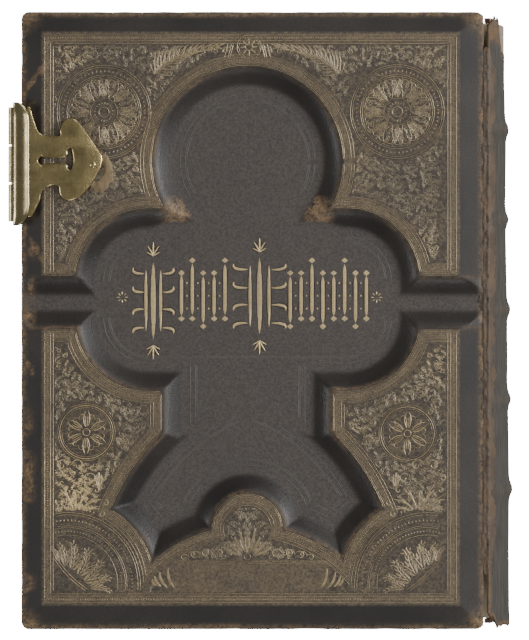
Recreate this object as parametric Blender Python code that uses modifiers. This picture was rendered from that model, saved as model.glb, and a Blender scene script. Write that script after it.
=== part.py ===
"""A large clasped family Bible, lying closed on its lower board.

Metres, +Z up. +X points to the spine, +Y to the head, and the upper board faces +Z.
The origin is the centre of the bounding box's bottom. Every piece is one object in the
collection "Bible"; each moving group hangs from an empty that stands on its hinge axis.
"""

import math

import bmesh
import bpy
from mathutils import Matrix, Vector

# ---- driving dimensions -------------------------------------------------------------
BOARD_W = 0.238  # fore edge to joint
BOARD_H = 0.318  # head to tail
BLOCK_T = 0.064  # thickness of the sewn gatherings
LEAF_T = 0.0004
GAP = 0.0003  # between pieces that touch
HINGE_GAP = 0.0025  # from a board's back edge to the spine leather
SPINE_ROUND = 0.012  # how far the spine bows out past the joint
BAND_RISE = 0.0023
CLASP_REACH = 0.0069  # how far the clasp's knuckles stand out past the board

# thicknesses through one board, counted from its inner face outwards
TURN_IN_T = 0.0008
PASTEDOWN_T = 0.0006
RIM_T = 0.0062  # inner face to the leather of the rim and the sunk field
SKIN_T = 0.0010
PANEL_RISE = 0.0042  # rim to the stamped panels
BOARD_T = RIM_T + PANEL_RISE

GATHERINGS = 8
BANDS = 5
HEAD_LEAVES = 3  # title leaf, frontispiece leaf, front flyleaf

# ---- places worked out from them ----------------------------------------------------
BAND_OUT = HINGE_GAP + SPINE_ROUND + BAND_RISE
FORE_X = -(BAND_OUT + BOARD_W + CLASP_REACH) / 2 + CLASP_REACH
BACK_X = FORE_X + BOARD_W
MID_X = (FORE_X + BACK_X) / 2
HALF_H = BOARD_H / 2
JOINT_X = BACK_X + HINGE_GAP

BACK_LEAF_Z = BOARD_T + GAP
BLOCK_Z = BACK_LEAF_Z + LEAF_T + GAP
BLOCK_TOP = BLOCK_Z + BLOCK_T
INNER_TOP = BLOCK_TOP + GAP + HEAD_LEAVES * (LEAF_T + GAP)
BOOK_T = INNER_TOP + BOARD_T
MID_Z = BOOK_T / 2

SPINE_CHORD = BOOK_T - 2 * PANEL_RISE
SPINE_R = (SPINE_CHORD**2 / 4 + SPINE_ROUND**2) / (2 * SPINE_ROUND)
SPINE_CX = JOINT_X + SPINE_ROUND - SPINE_R
SPINE_LEN = BOARD_H - 0.004
LEATHER_T = 0.0012
LINING_T = 0.0009
TAPE_T = 0.0012
LAYER_GAP = 0.0002
LINING_R = SPINE_R - LEATHER_T - LAYER_GAP
TAPE_R = LINING_R - LINING_T - LAYER_GAP
BLOCK_R = TAPE_R - TAPE_T - LAYER_GAP
SPINE_HALF = math.asin(SPINE_CHORD / 2 / SPINE_R)

SQUARE = 0.005  # how far a board stands out past the leaves
LEAF_HALF_H = HALF_H - SQUARE
LEAF_X = BACK_X - 0.002  # the leaves' hinge line
LEAF_STEP = 0.0008  # each lower leaf is hinged this much further in
HINGE_RISE = 0.0006  # from the rim leather to a board's hinge axis
HINGE_X = (BACK_X + JOINT_X) / 2
UPPER_HINGE_Z = INNER_TOP + RIM_T + HINGE_RISE
LOWER_HINGE_Z = BOOK_T - UPPER_HINGE_Z

# ---- raised panels of a board, in its own plane: u from the axis of symmetry to the
# spine, v from the middle of the board to the head ------------------------------------
AXIS_X = MID_X - 0.0026  # the stamping sits a little towards the fore edge
PANEL_IN = 0.0050  # rim to the panel's foot, at the fore edge and the back
NOTCH_V = 0.0088
TOP_LOBE = (0.0, 0.0814, 0.0483)  # centre u, v and radius
SIDE_LOBE_HIGH = (0.0498, 0.0201, 0.0365)
SIDE_LOBE_LOW = (0.0526, 0.0016, 0.0375)
STEM_HALF = 0.0430
STEM_SHOULDER_V = -0.0412
STEM_FOOT_V = -0.0603
FOOT_CORNER = (0.0700, -0.0970)
FOOT_TIP = (0.0478, -0.1245)
FAN_CENTRE = (0.0850, -0.1390)
TYMPANUM = (0.0, -0.1078, 0.0190)

# ---- clasp --------------------------------------------------------------------------
CLASP_Y = HALF_H - 0.0785
CLASP_LEN = 0.0637
CLASP_BAR_IN = 0.0044
PLATE_T = 0.0013
KNUCKLE_R = 0.0023
PIN_R = 0.0009
PIN_X = FORE_X - CLASP_REACH + KNUCKLE_R
PIN_Z = INNER_TOP + 0.0042
HASP_T = 0.0014
HASP_HALF_W = 0.0170
HASP_END_Z = 0.0035
NOSE_Z = 0.0105
NOSE_HALF_Y = 0.0052
NOSE_R = 0.0015
WINDOW_HALF_Y = 0.0060
WINDOW_HALF_Z = 0.0027

COLOURS = {
    "leather": ((0.028, 0.023, 0.021), 0.42, 0.0),
    "stamped": ((0.110, 0.080, 0.045), 0.45, 0.2),
    "brass": ((0.420, 0.330, 0.130), 0.30, 1.0),
    "board": ((0.330, 0.260, 0.180), 0.85, 0.0),
    "paper": ((0.720, 0.640, 0.480), 0.80, 0.0),
    "gilt_edge": ((0.600, 0.440, 0.180), 0.45, 0.5),
    "cloth": ((0.560, 0.500, 0.400), 0.90, 0.0),
    "silk": ((0.400, 0.080, 0.060), 0.60, 0.0),
}

# ---- spine and clasp details ---------------------------------------------------------
TAPE_HALF_W = 0.006
BAND_HALF_W = 0.0052
BAND_ROUND = 0.0012
BAND_REACH = 0.94  # a band's share of the spine's arc
BAND_PITCH = BOARD_H * 0.148
BAND_MIDDLE_Y = 0.0055
LINING_REACH = 0.96  # the lining's share of the block's arc
ENDBAND_REACH = 0.97  # an endband's share of the lining's arc
ENDBAND_T = 0.0030
ENDBAND_L = 0.0025
JOINT_R = 0.0008

CLASP_SHIFT = 0.0010  # how far the leaf sits below the bar's middle
BAR_OUT = 0.0052  # how far the bar stands out past the board
BAR_CROWN = 0.0035
BAR_ROUND = 0.0008
SKIRT_RISE = (0.0010, 0.0016, 0.0014)  # the skirt's heights over the pin, from outside in
KNUCKLE_ROW = 0.90  # the knuckles' share of the clasp's length
PIN_HALF_L = CLASP_LEN * 0.46
BORE_R = PIN_R + 0.00015
PIERCE_OVER = 0.002  # how far a piercing's cutter passes the plate's faces
ARROW = ((0.0080, 0.0), (0.0122, -0.0040), (0.0122, 0.0040))
SLOT_X = (0.0115, 0.0235)
SLOT_HALF_W = 0.0022
OVAL_X = 0.0243
OVAL_R = (0.0021, 0.0062)
RIVET_AT = (0.0372, -0.0006)
RIVET_R = 0.0016
RIVET_RISE = 0.0008
HASP_NECK_Z = 0.006
HASP_SHOULDER_Z = 0.014
HASP_WAIST_IN = 0.003
HASP_KNEE = (0.001, 0.006)
HASP_FOOT_IN = 0.005
WINDOW_CUT = 0.02
CATCH_LIP = 0.003
NOSE_CLEAR = 0.0005
NOSE_CHAMFER = 0.0006
NOSE_FLAT = 0.4  # the flat share of the nose's tip


# ---- helpers ------------------------------------------------------------------------


def clear_scene():
    for obj in list(bpy.data.objects):
        bpy.data.objects.remove(obj, do_unlink=True)


def collection(name, hidden=False):
    made = bpy.data.collections.new(name)
    bpy.context.scene.collection.children.link(made)
    made.hide_render = hidden
    return made


def paint(obj, kind):
    """Gives the object a material of its own, named after it."""
    colour, roughness, metallic = COLOURS[kind]
    material = bpy.data.materials.new(obj.name)
    material.use_nodes = True
    shader = material.node_tree.nodes["Principled BSDF"]
    shader.inputs["Base Color"].default_value = (*colour, 1.0)
    shader.inputs["Roughness"].default_value = roughness
    shader.inputs["Metallic"].default_value = metallic
    material.diffuse_color = (*colour, 1.0)
    obj.data.materials.clear()
    obj.data.materials.append(material)


def outline_curve(name, points, depth):
    """A flat closed outline in XY, thickened by depth about its plane."""
    curve = bpy.data.curves.new(name, "CURVE")
    curve.dimensions = "2D"
    curve.fill_mode = "BOTH"
    curve.extrude = depth / 2
    spline = curve.splines.new("POLY")
    spline.points.add(len(points) - 1)
    for place, (x, y) in zip(spline.points, points):
        place.co = (x, y, 0.0, 1.0)
    spline.use_cyclic_u = True
    return bpy.data.objects.new(name, curve)


def as_mesh(obj, group):
    """Turns a curve object into a mesh object with its caps welded."""
    group.objects.link(obj)
    bpy.context.view_layer.update()
    graph = bpy.context.evaluated_depsgraph_get()
    mesh = bpy.data.meshes.new_from_object(obj.evaluated_get(graph))
    place = obj.matrix_world.copy()
    name = obj.name
    bpy.data.objects.remove(obj, do_unlink=True)
    mesh.transform(place)
    weld(mesh)
    mesh.name = name
    made = bpy.data.objects.new(name, mesh)
    group.objects.link(made)
    return made


def weld(mesh):
    shape = bmesh.new()
    shape.from_mesh(mesh)
    bmesh.ops.remove_doubles(shape, verts=shape.verts, dist=1e-6)
    bmesh.ops.recalc_face_normals(shape, faces=shape.faces)
    shape.to_mesh(mesh)
    shape.free()


def slab_xy(name, points, z_low, z_high, group):
    """An outline in XY that fills the height from z_low to z_high."""
    obj = outline_curve(name, points, z_high - z_low)
    obj.location = (0.0, 0.0, (z_low + z_high) / 2)
    return as_mesh(obj, group)


def slab_xz(name, points, y_low, y_high, group):
    """An outline in XZ that runs along Y from y_low to y_high."""
    obj = outline_curve(name, points, y_high - y_low)
    obj.rotation_euler = (math.radians(90), 0.0, 0.0)
    obj.location = (0.0, (y_low + y_high) / 2, 0.0)
    return as_mesh(obj, group)


def rectangle(u_low, u_high, v_low, v_high):
    return [(u_low, v_low), (u_high, v_low), (u_high, v_high), (u_low, v_high)]


def arc(centre, radius, start, end, steps):
    """Points on a circle from start to end, in degrees, with both ends."""
    turn = [math.radians(start + (end - start) * i / steps) for i in range(steps + 1)]
    return [(centre[0] + radius * math.cos(t), centre[1] + radius * math.sin(t)) for t in turn]


def heading(centre, point):
    """The direction from centre to point, in degrees."""
    return math.degrees(math.atan2(point[1] - centre[1], point[0] - centre[0]))


def cylinder_y(name, radius, x, z, y_low, y_high, group, sides=24):
    """A cylinder whose axis runs along Y."""
    bpy.ops.mesh.primitive_cylinder_add(vertices=sides, radius=radius, depth=y_high - y_low)
    obj = bpy.context.object
    obj.name = name
    for old in list(obj.users_collection):
        old.objects.unlink(obj)
    group.objects.link(obj)
    turn = Matrix.Rotation(math.radians(90), 4, "X")
    obj.data.transform(Matrix.Translation((x, (y_low + y_high) / 2, z)) @ turn)
    return obj


def combine(obj, other, operation):
    """A Boolean with a cutter or with a piece that is joined on."""
    other.hide_render = True
    other.display_type = "WIRE"
    step = obj.modifiers.new(other.name, "BOOLEAN")
    step.operation = operation
    step.solver = "EXACT"
    step.object = other


def soften(obj, width, angle=50.0, segments=1):
    """A Bevel on the edges sharper than angle, in degrees."""
    step = obj.modifiers.new("soft_edges", "BEVEL")
    step.width = width
    step.segments = segments
    step.limit_method = "ANGLE"
    step.angle_limit = math.radians(angle)


def hang(obj, empty):
    """Parents the object to the empty and keeps it where it is."""
    obj.parent = empty
    obj.matrix_parent_inverse = Matrix.Translation(-Vector(empty.location))


def pivot(name, x, y, z, group, parent=None):
    """An empty on a hinge axis that runs along Y."""
    empty = bpy.data.objects.new(name, None)
    empty.empty_display_size = 0.01
    empty.location = (x, y, z)
    group.objects.link(empty)
    if parent:
        empty.parent = parent
        empty.location = Vector((x, y, z)) - world_of(parent)
    return empty


def world_of(empty):
    place = Vector(empty.location)
    while empty.parent:
        empty = empty.parent
        place = place + Vector(empty.location)
    return place


class Board:
    """One board: which way its outer face points, and the pieces it holds."""

    def __init__(self, side, inner_z, outwards, group, cutters):
        self.side = side
        self.inner_z = inner_z
        self.outwards = outwards
        self.group = group
        self.cutters = cutters

    def span(self, near, far):
        """Heights of a layer that lies between two distances from the inner face."""
        return sorted(self.inner_z + self.outwards * w for w in (near, far))

    def layer(self, name, points, near, far, group=None):
        low, high = self.span(near, far)
        return slab_xy(f"{self.side}_{name}", points, low, high, group or self.group)

    def core(self):
        low = rectangle(FORE_X + SKIN_T + GAP, BACK_X, -HALF_H + SKIN_T + GAP, HALF_H - SKIN_T - GAP)
        obj = self.layer("board_core", low, TURN_IN_T + LAYER_GAP, RIM_T - SKIN_T - LAYER_GAP)
        soften(obj, 0.0006)
        paint(obj, "board")
        return obj

    def cover(self):
        """Leather over the outer face, turned in over three edges."""
        turned = 0.014
        obj = self.layer("cover_leather", rectangle(FORE_X, BACK_X, -HALF_H, HALF_H), 0.0, RIM_T)
        room = rectangle(FORE_X + SKIN_T, BACK_X + turned, -HALF_H + SKIN_T, HALF_H - SKIN_T)
        hollow = self.layer("cover_room", room, TURN_IN_T, RIM_T - SKIN_T, self.cutters)
        window = rectangle(FORE_X + turned, BACK_X + turned, -HALF_H + turned, HALF_H - turned)
        opening = self.layer("cover_window", window, -turned, RIM_T / 2, self.cutters)
        combine(obj, hollow, "DIFFERENCE")
        combine(obj, opening, "DIFFERENCE")
        paint(obj, "leather")
        return obj

    def pastedown(self):
        turned = 0.014 + GAP
        inside = rectangle(FORE_X + turned, BACK_X - GAP, -HALF_H + turned, HALF_H - turned)
        obj = self.layer("pastedown", inside, 0.0, PASTEDOWN_T)
        paint(obj, "paper")
        return obj

    def panels(self):
        made = []
        for name, points in (("head_panel", head_outline()), ("tail_panel", tail_outline())):
            obj = self.layer(name, points, RIM_T + LAYER_GAP, BOARD_T)
            soften(obj, 0.0030, angle=60.0)
            paint(obj, "stamped")
            made.append(obj)
        return made

    def build(self):
        return [self.core(), self.cover(), self.pastedown(), *self.panels()]


def mirrored(half):
    """A right half, from the axis outwards, followed by its mirror image back to the axis."""
    left = [(-u, v) for u, v in reversed(half) if u > 1e-6]
    return half + left


def on_board(points):
    """From the stamping's own u, v to the book's x, y."""
    return [(AXIS_X + u, v) for u, v in points]


def lobe_meeting(first, second):
    """The lower crossing point of two circles, at positive u."""
    (ax, ay, ar), (bx, by, br) = first, second
    gap = math.hypot(bx - ax, by - ay)
    along = (ar**2 - br**2 + gap**2) / (2 * gap)
    off = math.sqrt(max(ar**2 - along**2, 0.0))
    ux, uy = (bx - ax) / gap, (by - ay) / gap
    found = [(ax + along * ux + s * off * -uy, ay + along * uy + s * off * ux) for s in (1, -1)]
    return max(found, key=lambda p: p[0])


def head_outline():
    """The head panel: a plate with the top lobe and the upper halves of the side lobes cut out."""
    tip = lobe_meeting(TOP_LOBE, SIDE_LOBE_HIGH)
    notch_u = SIDE_LOBE_HIGH[0] + math.sqrt(SIDE_LOBE_HIGH[2] ** 2 - (SIDE_LOBE_HIGH[1] - NOTCH_V) ** 2)
    half = arc(TOP_LOBE, TOP_LOBE[2], 90, heading(TOP_LOBE, tip), 16)
    corner = (notch_u, NOTCH_V)
    start, end = heading(SIDE_LOBE_HIGH, tip), heading(SIDE_LOBE_HIGH, corner)
    half += arc(SIDE_LOBE_HIGH, SIDE_LOBE_HIGH[2], start, end, 10)[1:]
    return closed_panel(half, NOTCH_V, HALF_H)


def tail_outline():
    """The tail panel: a plate with the lower side lobes, the stem and its flared foot cut out."""
    reach = math.sqrt(SIDE_LOBE_LOW[2] ** 2 - (SIDE_LOBE_LOW[1] + NOTCH_V) ** 2)
    corner = (SIDE_LOBE_LOW[0] + reach, -NOTCH_V)
    inner = (STEM_HALF, STEM_SHOULDER_V + 0.004)
    half = arc(TYMPANUM, TYMPANUM[2], 90, 0, 8)
    half.append(FOOT_TIP)
    start, end = heading(FAN_CENTRE, FOOT_TIP), heading(FAN_CENTRE, FOOT_CORNER)
    half += arc(FAN_CENTRE, math.dist(FAN_CENTRE, FOOT_TIP), start, end, 5)[1:]
    half += [(0.0600, -0.0770), (0.0520, -0.0670), (STEM_HALF, STEM_FOOT_V), inner]
    low = (SIDE_LOBE_LOW[0], SIDE_LOBE_LOW[1] - SIDE_LOBE_LOW[2])
    start, end = heading(SIDE_LOBE_LOW, low), heading(SIDE_LOBE_LOW, corner)
    half += arc(SIDE_LOBE_LOW, SIDE_LOBE_LOW[2], start, end, 10)
    return closed_panel(half, -NOTCH_V, -HALF_H)


def closed_panel(half, notch_v, edge_v):
    """Joins an inner outline to the plate's outer sides."""
    inset = math.copysign(0.0055, edge_v)
    sides = rectangle(FORE_X + PANEL_IN, BACK_X - PANEL_IN - 0.002, notch_v, edge_v - inset)
    low_left, low_right, high_right, high_left = sides
    inner = on_board(mirrored(half))
    count = len(half)
    right, left = inner[:count], inner[count:]
    return right + [low_right, high_right, high_left, low_left] + left


# ---- text block and spine -----------------------------------------------------------
def edge_x(radius, z):
    """X of a circle about the spine's centre line, at height z."""
    return SPINE_CX + math.sqrt(radius**2 - (z - MID_Z) ** 2)


def arc_strip(name, inner, outer, half_angle, y_low, y_high, kind, group, steps=24):
    """A curved strip about the spine's centre line."""
    angle = math.degrees(half_angle)
    centre = (SPINE_CX, MID_Z)
    points = arc(centre, outer, -angle, angle, steps) + arc(centre, inner, angle, -angle, steps)
    obj = slab_xz(name, points, y_low, y_high, group)
    paint(obj, kind)
    return obj


def gatherings(group):
    """The sewn gatherings, in equal stacks, with a rounded back and a hollow fore edge."""
    made = []
    steps = 4
    fore_shift = FORE_X + SQUARE - edge_x(BLOCK_R, MID_Z + BLOCK_T / 2)
    thick = BLOCK_T / GATHERINGS
    for number in range(GATHERINGS):
        low = BLOCK_Z + number * thick
        high = low + thick - LAYER_GAP
        heights = [low + (high - low) * i / steps for i in range(steps + 1)]
        back = [(edge_x(BLOCK_R, z), z) for z in heights]
        fore = [(edge_x(BLOCK_R, z) + fore_shift, z) for z in reversed(heights)]
        obj = slab_xz(f"gatherings_{number + 1}", back + fore, -LEAF_HALF_H, LEAF_HALF_H, group)
        paint(obj, "gilt_edge")
        made.append(obj)
    return made


def band_centres():
    """Y of the five raised bands."""
    middle = (BANDS - 1) / 2
    return [BAND_MIDDLE_Y + BAND_PITCH * (middle - i) for i in range(BANDS)]


def raised_band(number, y, group):
    """One band across the spine, with softened edges."""
    low, high = y - BAND_HALF_W, y + BAND_HALF_W
    inner, outer, reach = SPINE_R + LAYER_GAP, SPINE_R + BAND_RISE, SPINE_HALF * BAND_REACH
    band = arc_strip(f"raised_band_{number}", inner, outer, reach, low, high, "leather", group, 20)
    soften(band, BAND_ROUND)
    return band


def spine(group):
    """The spine's layers from the block outwards, its bands and endbands, and the two joints."""
    half = SPINE_LEN / 2
    reach = math.asin(BLOCK_T / 2 / BLOCK_R) * LINING_REACH
    low, high = -LEAF_HALF_H, LEAF_HALF_H
    made = [
        arc_strip("spine_lining", LINING_R - LINING_T, LINING_R, reach, low, high, "cloth", group),
    ]
    inner = SPINE_R - LEATHER_T
    made.append(arc_strip("spine_leather", inner, SPINE_R, SPINE_HALF, -half, half, "leather", group, 32))
    for number, y in enumerate(band_centres(), 1):
        low, high = y - TAPE_HALF_W, y + TAPE_HALF_W
        name = f"sewing_tape_{number}"
        made.append(arc_strip(name, TAPE_R - TAPE_T, TAPE_R, reach, low, high, "cloth", group, 16))
        made.append(raised_band(number, y, group))
    for name, side in (("head_band", 1), ("tail_band", -1)):
        near = LEAF_HALF_H + GAP
        low, high = sorted((side * near, side * (near + ENDBAND_L)))
        inner = BLOCK_R - ENDBAND_T
        made.append(arc_strip(name, inner, BLOCK_R, reach * ENDBAND_REACH, low, high, "silk", group))
    for name, z in (("upper_joint_leather", UPPER_HINGE_Z), ("lower_joint_leather", LOWER_HINGE_Z)):
        strip = cylinder_y(name, JOINT_R, HINGE_X, z, -half, half, group, sides=12)
        paint(strip, "leather")
        made.append(strip)
    return made


def leaf(name, z_low, step, kind, group):
    """One leaf, whose hinge line is LEAF_X less step."""
    points = rectangle(FORE_X + SQUARE, LEAF_X - step, -LEAF_HALF_H, LEAF_HALF_H)
    obj = slab_xy(name, points, z_low, z_low + LEAF_T, group)
    paint(obj, kind)
    return obj


# ---- clasp --------------------------------------------------------------------------
def leaf_plate_half():
    """Half of the clasp's leaf-shaped plate: along x from the bar, and outwards in y."""
    return [
        (0.0010, 0.0), (0.0010, 0.0210), (0.0070, 0.0205), (0.0085, 0.0165), (0.0115, 0.0130),
        (0.0165, 0.0118), (0.0195, 0.0135), (0.0212, 0.0170), (0.0225, 0.0195), (0.0250, 0.0204),
        (0.0285, 0.0196), (0.0330, 0.0158), (0.0370, 0.0095), (0.0402, 0.0030), (0.0408, 0.0),
    ]


def clasp_plate(group, cutters):
    """The leaf plate, the rounded bar over the board's edge, and the two outer knuckles."""
    half = leaf_plate_half()
    outline = half + [(x, -y) for x, y in reversed(half[1:-1])]
    outline = [(FORE_X + x, CLASP_Y - CLASP_SHIFT + y) for x, y in outline]
    low = BOOK_T + GAP
    obj = slab_xy("clasp_plate", outline, low, low + PLATE_T, group)
    for cutter in clasp_piercing(low, cutters):
        combine(obj, cutter, "DIFFERENCE")
    half_len = CLASP_LEN / 2
    combine(obj, clasp_bar(half_len, cutters), "UNION")
    third = CLASP_LEN * KNUCKLE_ROW / 3
    for number, side in enumerate((1, -1)):
        y_low, y_high = sorted((side * (third / 2 + GAP), side * 1.5 * third))
        name = f"plate_knuckle_{number}"
        knuckle = cylinder_y(name, KNUCKLE_R, PIN_X, PIN_Z, CLASP_Y + y_low, CLASP_Y + y_high, cutters)
        combine(obj, knuckle, "UNION")
    low_y, high_y = CLASP_Y - third / 2 - GAP, CLASP_Y + third / 2 + GAP
    room = cylinder_y("middle_knuckle_room", KNUCKLE_R + GAP, PIN_X, PIN_Z, low_y, high_y, cutters)
    combine(obj, room, "DIFFERENCE")
    low_y, high_y = CLASP_Y - half_len, CLASP_Y + half_len
    bore = cylinder_y("plate_bore", BORE_R, PIN_X, PIN_Z, low_y, high_y, cutters)
    combine(obj, bore, "DIFFERENCE")
    paint(obj, "brass")
    return obj


def clasp_bar(half_len, cutters):
    """The rounded bar: a half-round top that comes down outside the board's edge to the knuckles."""
    base = INNER_TOP + RIM_T + GAP
    left, right = FORE_X - BAR_OUT, FORE_X + CLASP_BAR_IN
    top = BOOK_T + GAP + PLATE_T
    middle, width = (left + right) / 2, (right - left) / 2
    sink = top - BAR_CROWN
    crown = [(middle + width * math.cos(t), sink + BAR_CROWN * math.sin(t)) for t in half_turn()]
    wall = FORE_X - GAP
    outer, over_pin, inner = (PIN_Z + rise for rise in SKIRT_RISE)
    skirt = [(left, outer), (PIN_X, over_pin), (wall, inner), (wall, base), (right, base)]
    bar = slab_xz("plate_bar", crown + skirt, CLASP_Y - half_len, CLASP_Y + half_len, cutters)
    soften(bar, BAR_ROUND, angle=70.0)
    return bar


def half_turn(steps=10):
    """Angles from 0 to half a turn."""
    return [math.pi * i / steps for i in range(steps + 1)]


def clasp_piercing(low, cutters):
    """The arrow, slot and cross-oval cut through the leaf plate."""
    y = CLASP_Y - CLASP_SHIFT
    slot = rectangle(FORE_X + SLOT_X[0], FORE_X + SLOT_X[1], y - SLOT_HALF_W, y + SLOT_HALF_W)
    arrow = [(FORE_X + along, y + across) for along, across in ARROW]
    middle = FORE_X + OVAL_X
    cross = [(middle + OVAL_R[0] * math.cos(t), y + OVAL_R[1] * math.sin(t)) for t in full_turn(16)]
    under, over = low - PIERCE_OVER, low + PLATE_T + PIERCE_OVER
    made = []
    for name, points in (("slot", slot), ("arrow", arrow), ("cross", cross)):
        made.append(slab_xy(f"pierced_{name}", points, under, over, cutters))
    return made


def full_turn(steps):
    """Angles round a whole turn."""
    return [2 * math.pi * i / steps for i in range(steps)]


def clasp_hasp(group, cutters):
    """The strap that hangs from the middle knuckle down the fore edge, with a window for the catch."""
    third = CLASP_LEN * KNUCKLE_ROW / 3
    neck = third / 2 - GAP
    waist = (PIN_Z + NOSE_Z) / 2
    right = [
        (neck, PIN_Z + GAP),
        (neck, PIN_Z - HASP_NECK_Z),
        (HASP_HALF_W, PIN_Z - HASP_SHOULDER_Z),
        (HASP_HALF_W - HASP_WAIST_IN, waist),
        (HASP_HALF_W - HASP_KNEE[0], NOSE_Z + HASP_KNEE[1]),
        (HASP_HALF_W - HASP_FOOT_IN, HASP_END_Z),
    ]
    outline = [(CLASP_Y + y, z) for y, z in right] + [(CLASP_Y - y, z) for y, z in reversed(right)]
    obj = outline_curve("clasp_hasp", outline, HASP_T)
    obj.rotation_euler = (math.radians(90), 0.0, math.radians(90))
    obj.location = (PIN_X, 0.0, 0.0)
    obj = as_mesh(obj, group)
    knuckle = cylinder_y("hasp_knuckle", KNUCKLE_R, PIN_X, PIN_Z, CLASP_Y - neck, CLASP_Y + neck, cutters)
    combine(obj, knuckle, "UNION")
    low_y, high_y = CLASP_Y - WINDOW_HALF_Y, CLASP_Y + WINDOW_HALF_Y
    window = rectangle(low_y, high_y, NOSE_Z - WINDOW_HALF_Z, NOSE_Z + WINDOW_HALF_Z)
    cutter = outline_curve("hasp_window", window, WINDOW_CUT)
    cutter.rotation_euler = (math.radians(90), 0.0, math.radians(90))
    cutter.location = (PIN_X, 0.0, 0.0)
    combine(obj, as_mesh(cutter, cutters), "DIFFERENCE")
    low_y, high_y = CLASP_Y - CLASP_LEN / 2, CLASP_Y + CLASP_LEN / 2
    bore = cylinder_y("hasp_bore", BORE_R, PIN_X, PIN_Z, low_y, high_y, cutters)
    combine(obj, bore, "DIFFERENCE")
    paint(obj, "brass")
    return obj


def catch_plate(group, cutters):
    """A brass cap on the lower board's fore edge, with a nose for the hasp's window."""
    wall_out = FORE_X - GAP - PLATE_T
    rim = BOOK_T - (INNER_TOP + RIM_T)
    under, lip, wall_in = rim - GAP, BOARD_T + CATCH_LIP, FORE_X - GAP
    inner = FORE_X + CLASP_BAR_IN
    profile = [
        (wall_out, under - PLATE_T),
        (inner, under - PLATE_T),
        (inner, under),
        (wall_in, under),
        (wall_in, lip),
        (wall_out, lip),
    ]
    obj = slab_xz("catch_plate", profile, CLASP_Y - HASP_HALF_W, CLASP_Y + HASP_HALF_W, group)
    tip = PIN_X + HASP_T / 2 + NOSE_CLEAR
    back, shoulder, flat = wall_out + NOSE_CLEAR, tip + NOSE_CHAMFER, NOSE_R * NOSE_FLAT
    nose = [(back, NOSE_Z - NOSE_R), (back, NOSE_Z + NOSE_R), (shoulder, NOSE_Z + NOSE_R)]
    nose += [(tip, NOSE_Z + flat), (tip, NOSE_Z - flat), (shoulder, NOSE_Z - NOSE_R)]
    joined = slab_xz("catch_nose", nose, CLASP_Y - NOSE_HALF_Y, CLASP_Y + NOSE_HALF_Y, cutters)
    combine(obj, joined, "UNION")
    paint(obj, "brass")
    return obj


def rivet(name, x, y, z_low, rise, group):
    """A domed rivet head: a quarter-round profile turned about its axis."""
    steps = 6
    mesh = bpy.data.meshes.new(name)
    turn = [math.pi / 2 * i / steps for i in range(steps + 1)]
    profile = [(RIVET_R * math.sin(t), 0.0, rise * math.cos(t)) for t in turn] + [(0.0, 0.0, 0.0)]
    mesh.from_pydata(profile, [(i, i + 1) for i in range(len(profile) - 1)], [])
    obj = bpy.data.objects.new(name, mesh)
    obj.location = (x, y, z_low)
    spin = obj.modifiers.new("turned", "SCREW")
    spin.steps = spin.render_steps = 16
    spin.use_merge_vertices = True
    spin.merge_threshold = 0.00001
    group.objects.link(obj)
    paint(obj, "brass")
    return obj


def main():
    clear_scene()
    group = collection("Bible")
    cutters = collection("Cutters", hidden=True)

    lower = Board("lower", BOARD_T, -1, group, cutters)
    upper = Board("upper", INNER_TOP, 1, group, cutters)

    block_axis = pivot("block_axis", HINGE_X, 0.0, LOWER_HINGE_Z, group)
    board_axis = pivot("board_axis", HINGE_X, 0.0, UPPER_HINGE_Z, group, block_axis)
    hasp_axis = pivot("hasp_axis", PIN_X, CLASP_Y, PIN_Z, group, board_axis)

    lower.build()
    catch_plate(group, cutters)
    leaf("back_flyleaf", BACK_LEAF_Z, 0.0, "paper", group)
    for obj in gatherings(group) + spine(group):
        hang(obj, block_axis)
    for number, name in enumerate(("title_leaf", "frontispiece_leaf", "front_flyleaf")):
        step = (HEAD_LEAVES - 1 - number) * LEAF_STEP
        z_low = BLOCK_TOP + number * (LEAF_T + GAP)
        obj = leaf(name, z_low, step, "paper", group)
        hang(obj, block_axis)
    plate = clasp_plate(group, cutters)
    low_y, high_y = CLASP_Y - PIN_HALF_L, CLASP_Y + PIN_HALF_L
    pin = cylinder_y("clasp_hinge_pin", PIN_R, PIN_X, PIN_Z, low_y, high_y, group, sides=16)
    paint(pin, "brass")
    x, y = FORE_X + RIVET_AT[0], CLASP_Y + RIVET_AT[1]
    head = rivet("clasp_rivet", x, y, BOOK_T + GAP + PLATE_T + LAYER_GAP, RIVET_RISE, group)
    for obj in upper.build() + [plate, pin, head]:
        obj.parent = board_axis
        obj.matrix_parent_inverse = Matrix.Translation(-world_of(board_axis))
    hasp = clasp_hasp(group, cutters)
    hasp.parent = hasp_axis
    hasp.matrix_parent_inverse = Matrix.Translation(-world_of(hasp_axis))


main()
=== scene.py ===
"""Looks of the clasped family Bible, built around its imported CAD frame.

Metres, +Z up. +X points to the spine, +Y to the head, and the upper board faces +Z.
Each sub-assembly is a class that holds its sizes and builds its own pieces. A place on a
board is given as u, v: from the stamping's axis towards the spine, and from the middle of
the board towards the head.
"""

import logging
import math
from dataclasses import dataclass, field
from enum import Enum

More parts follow.
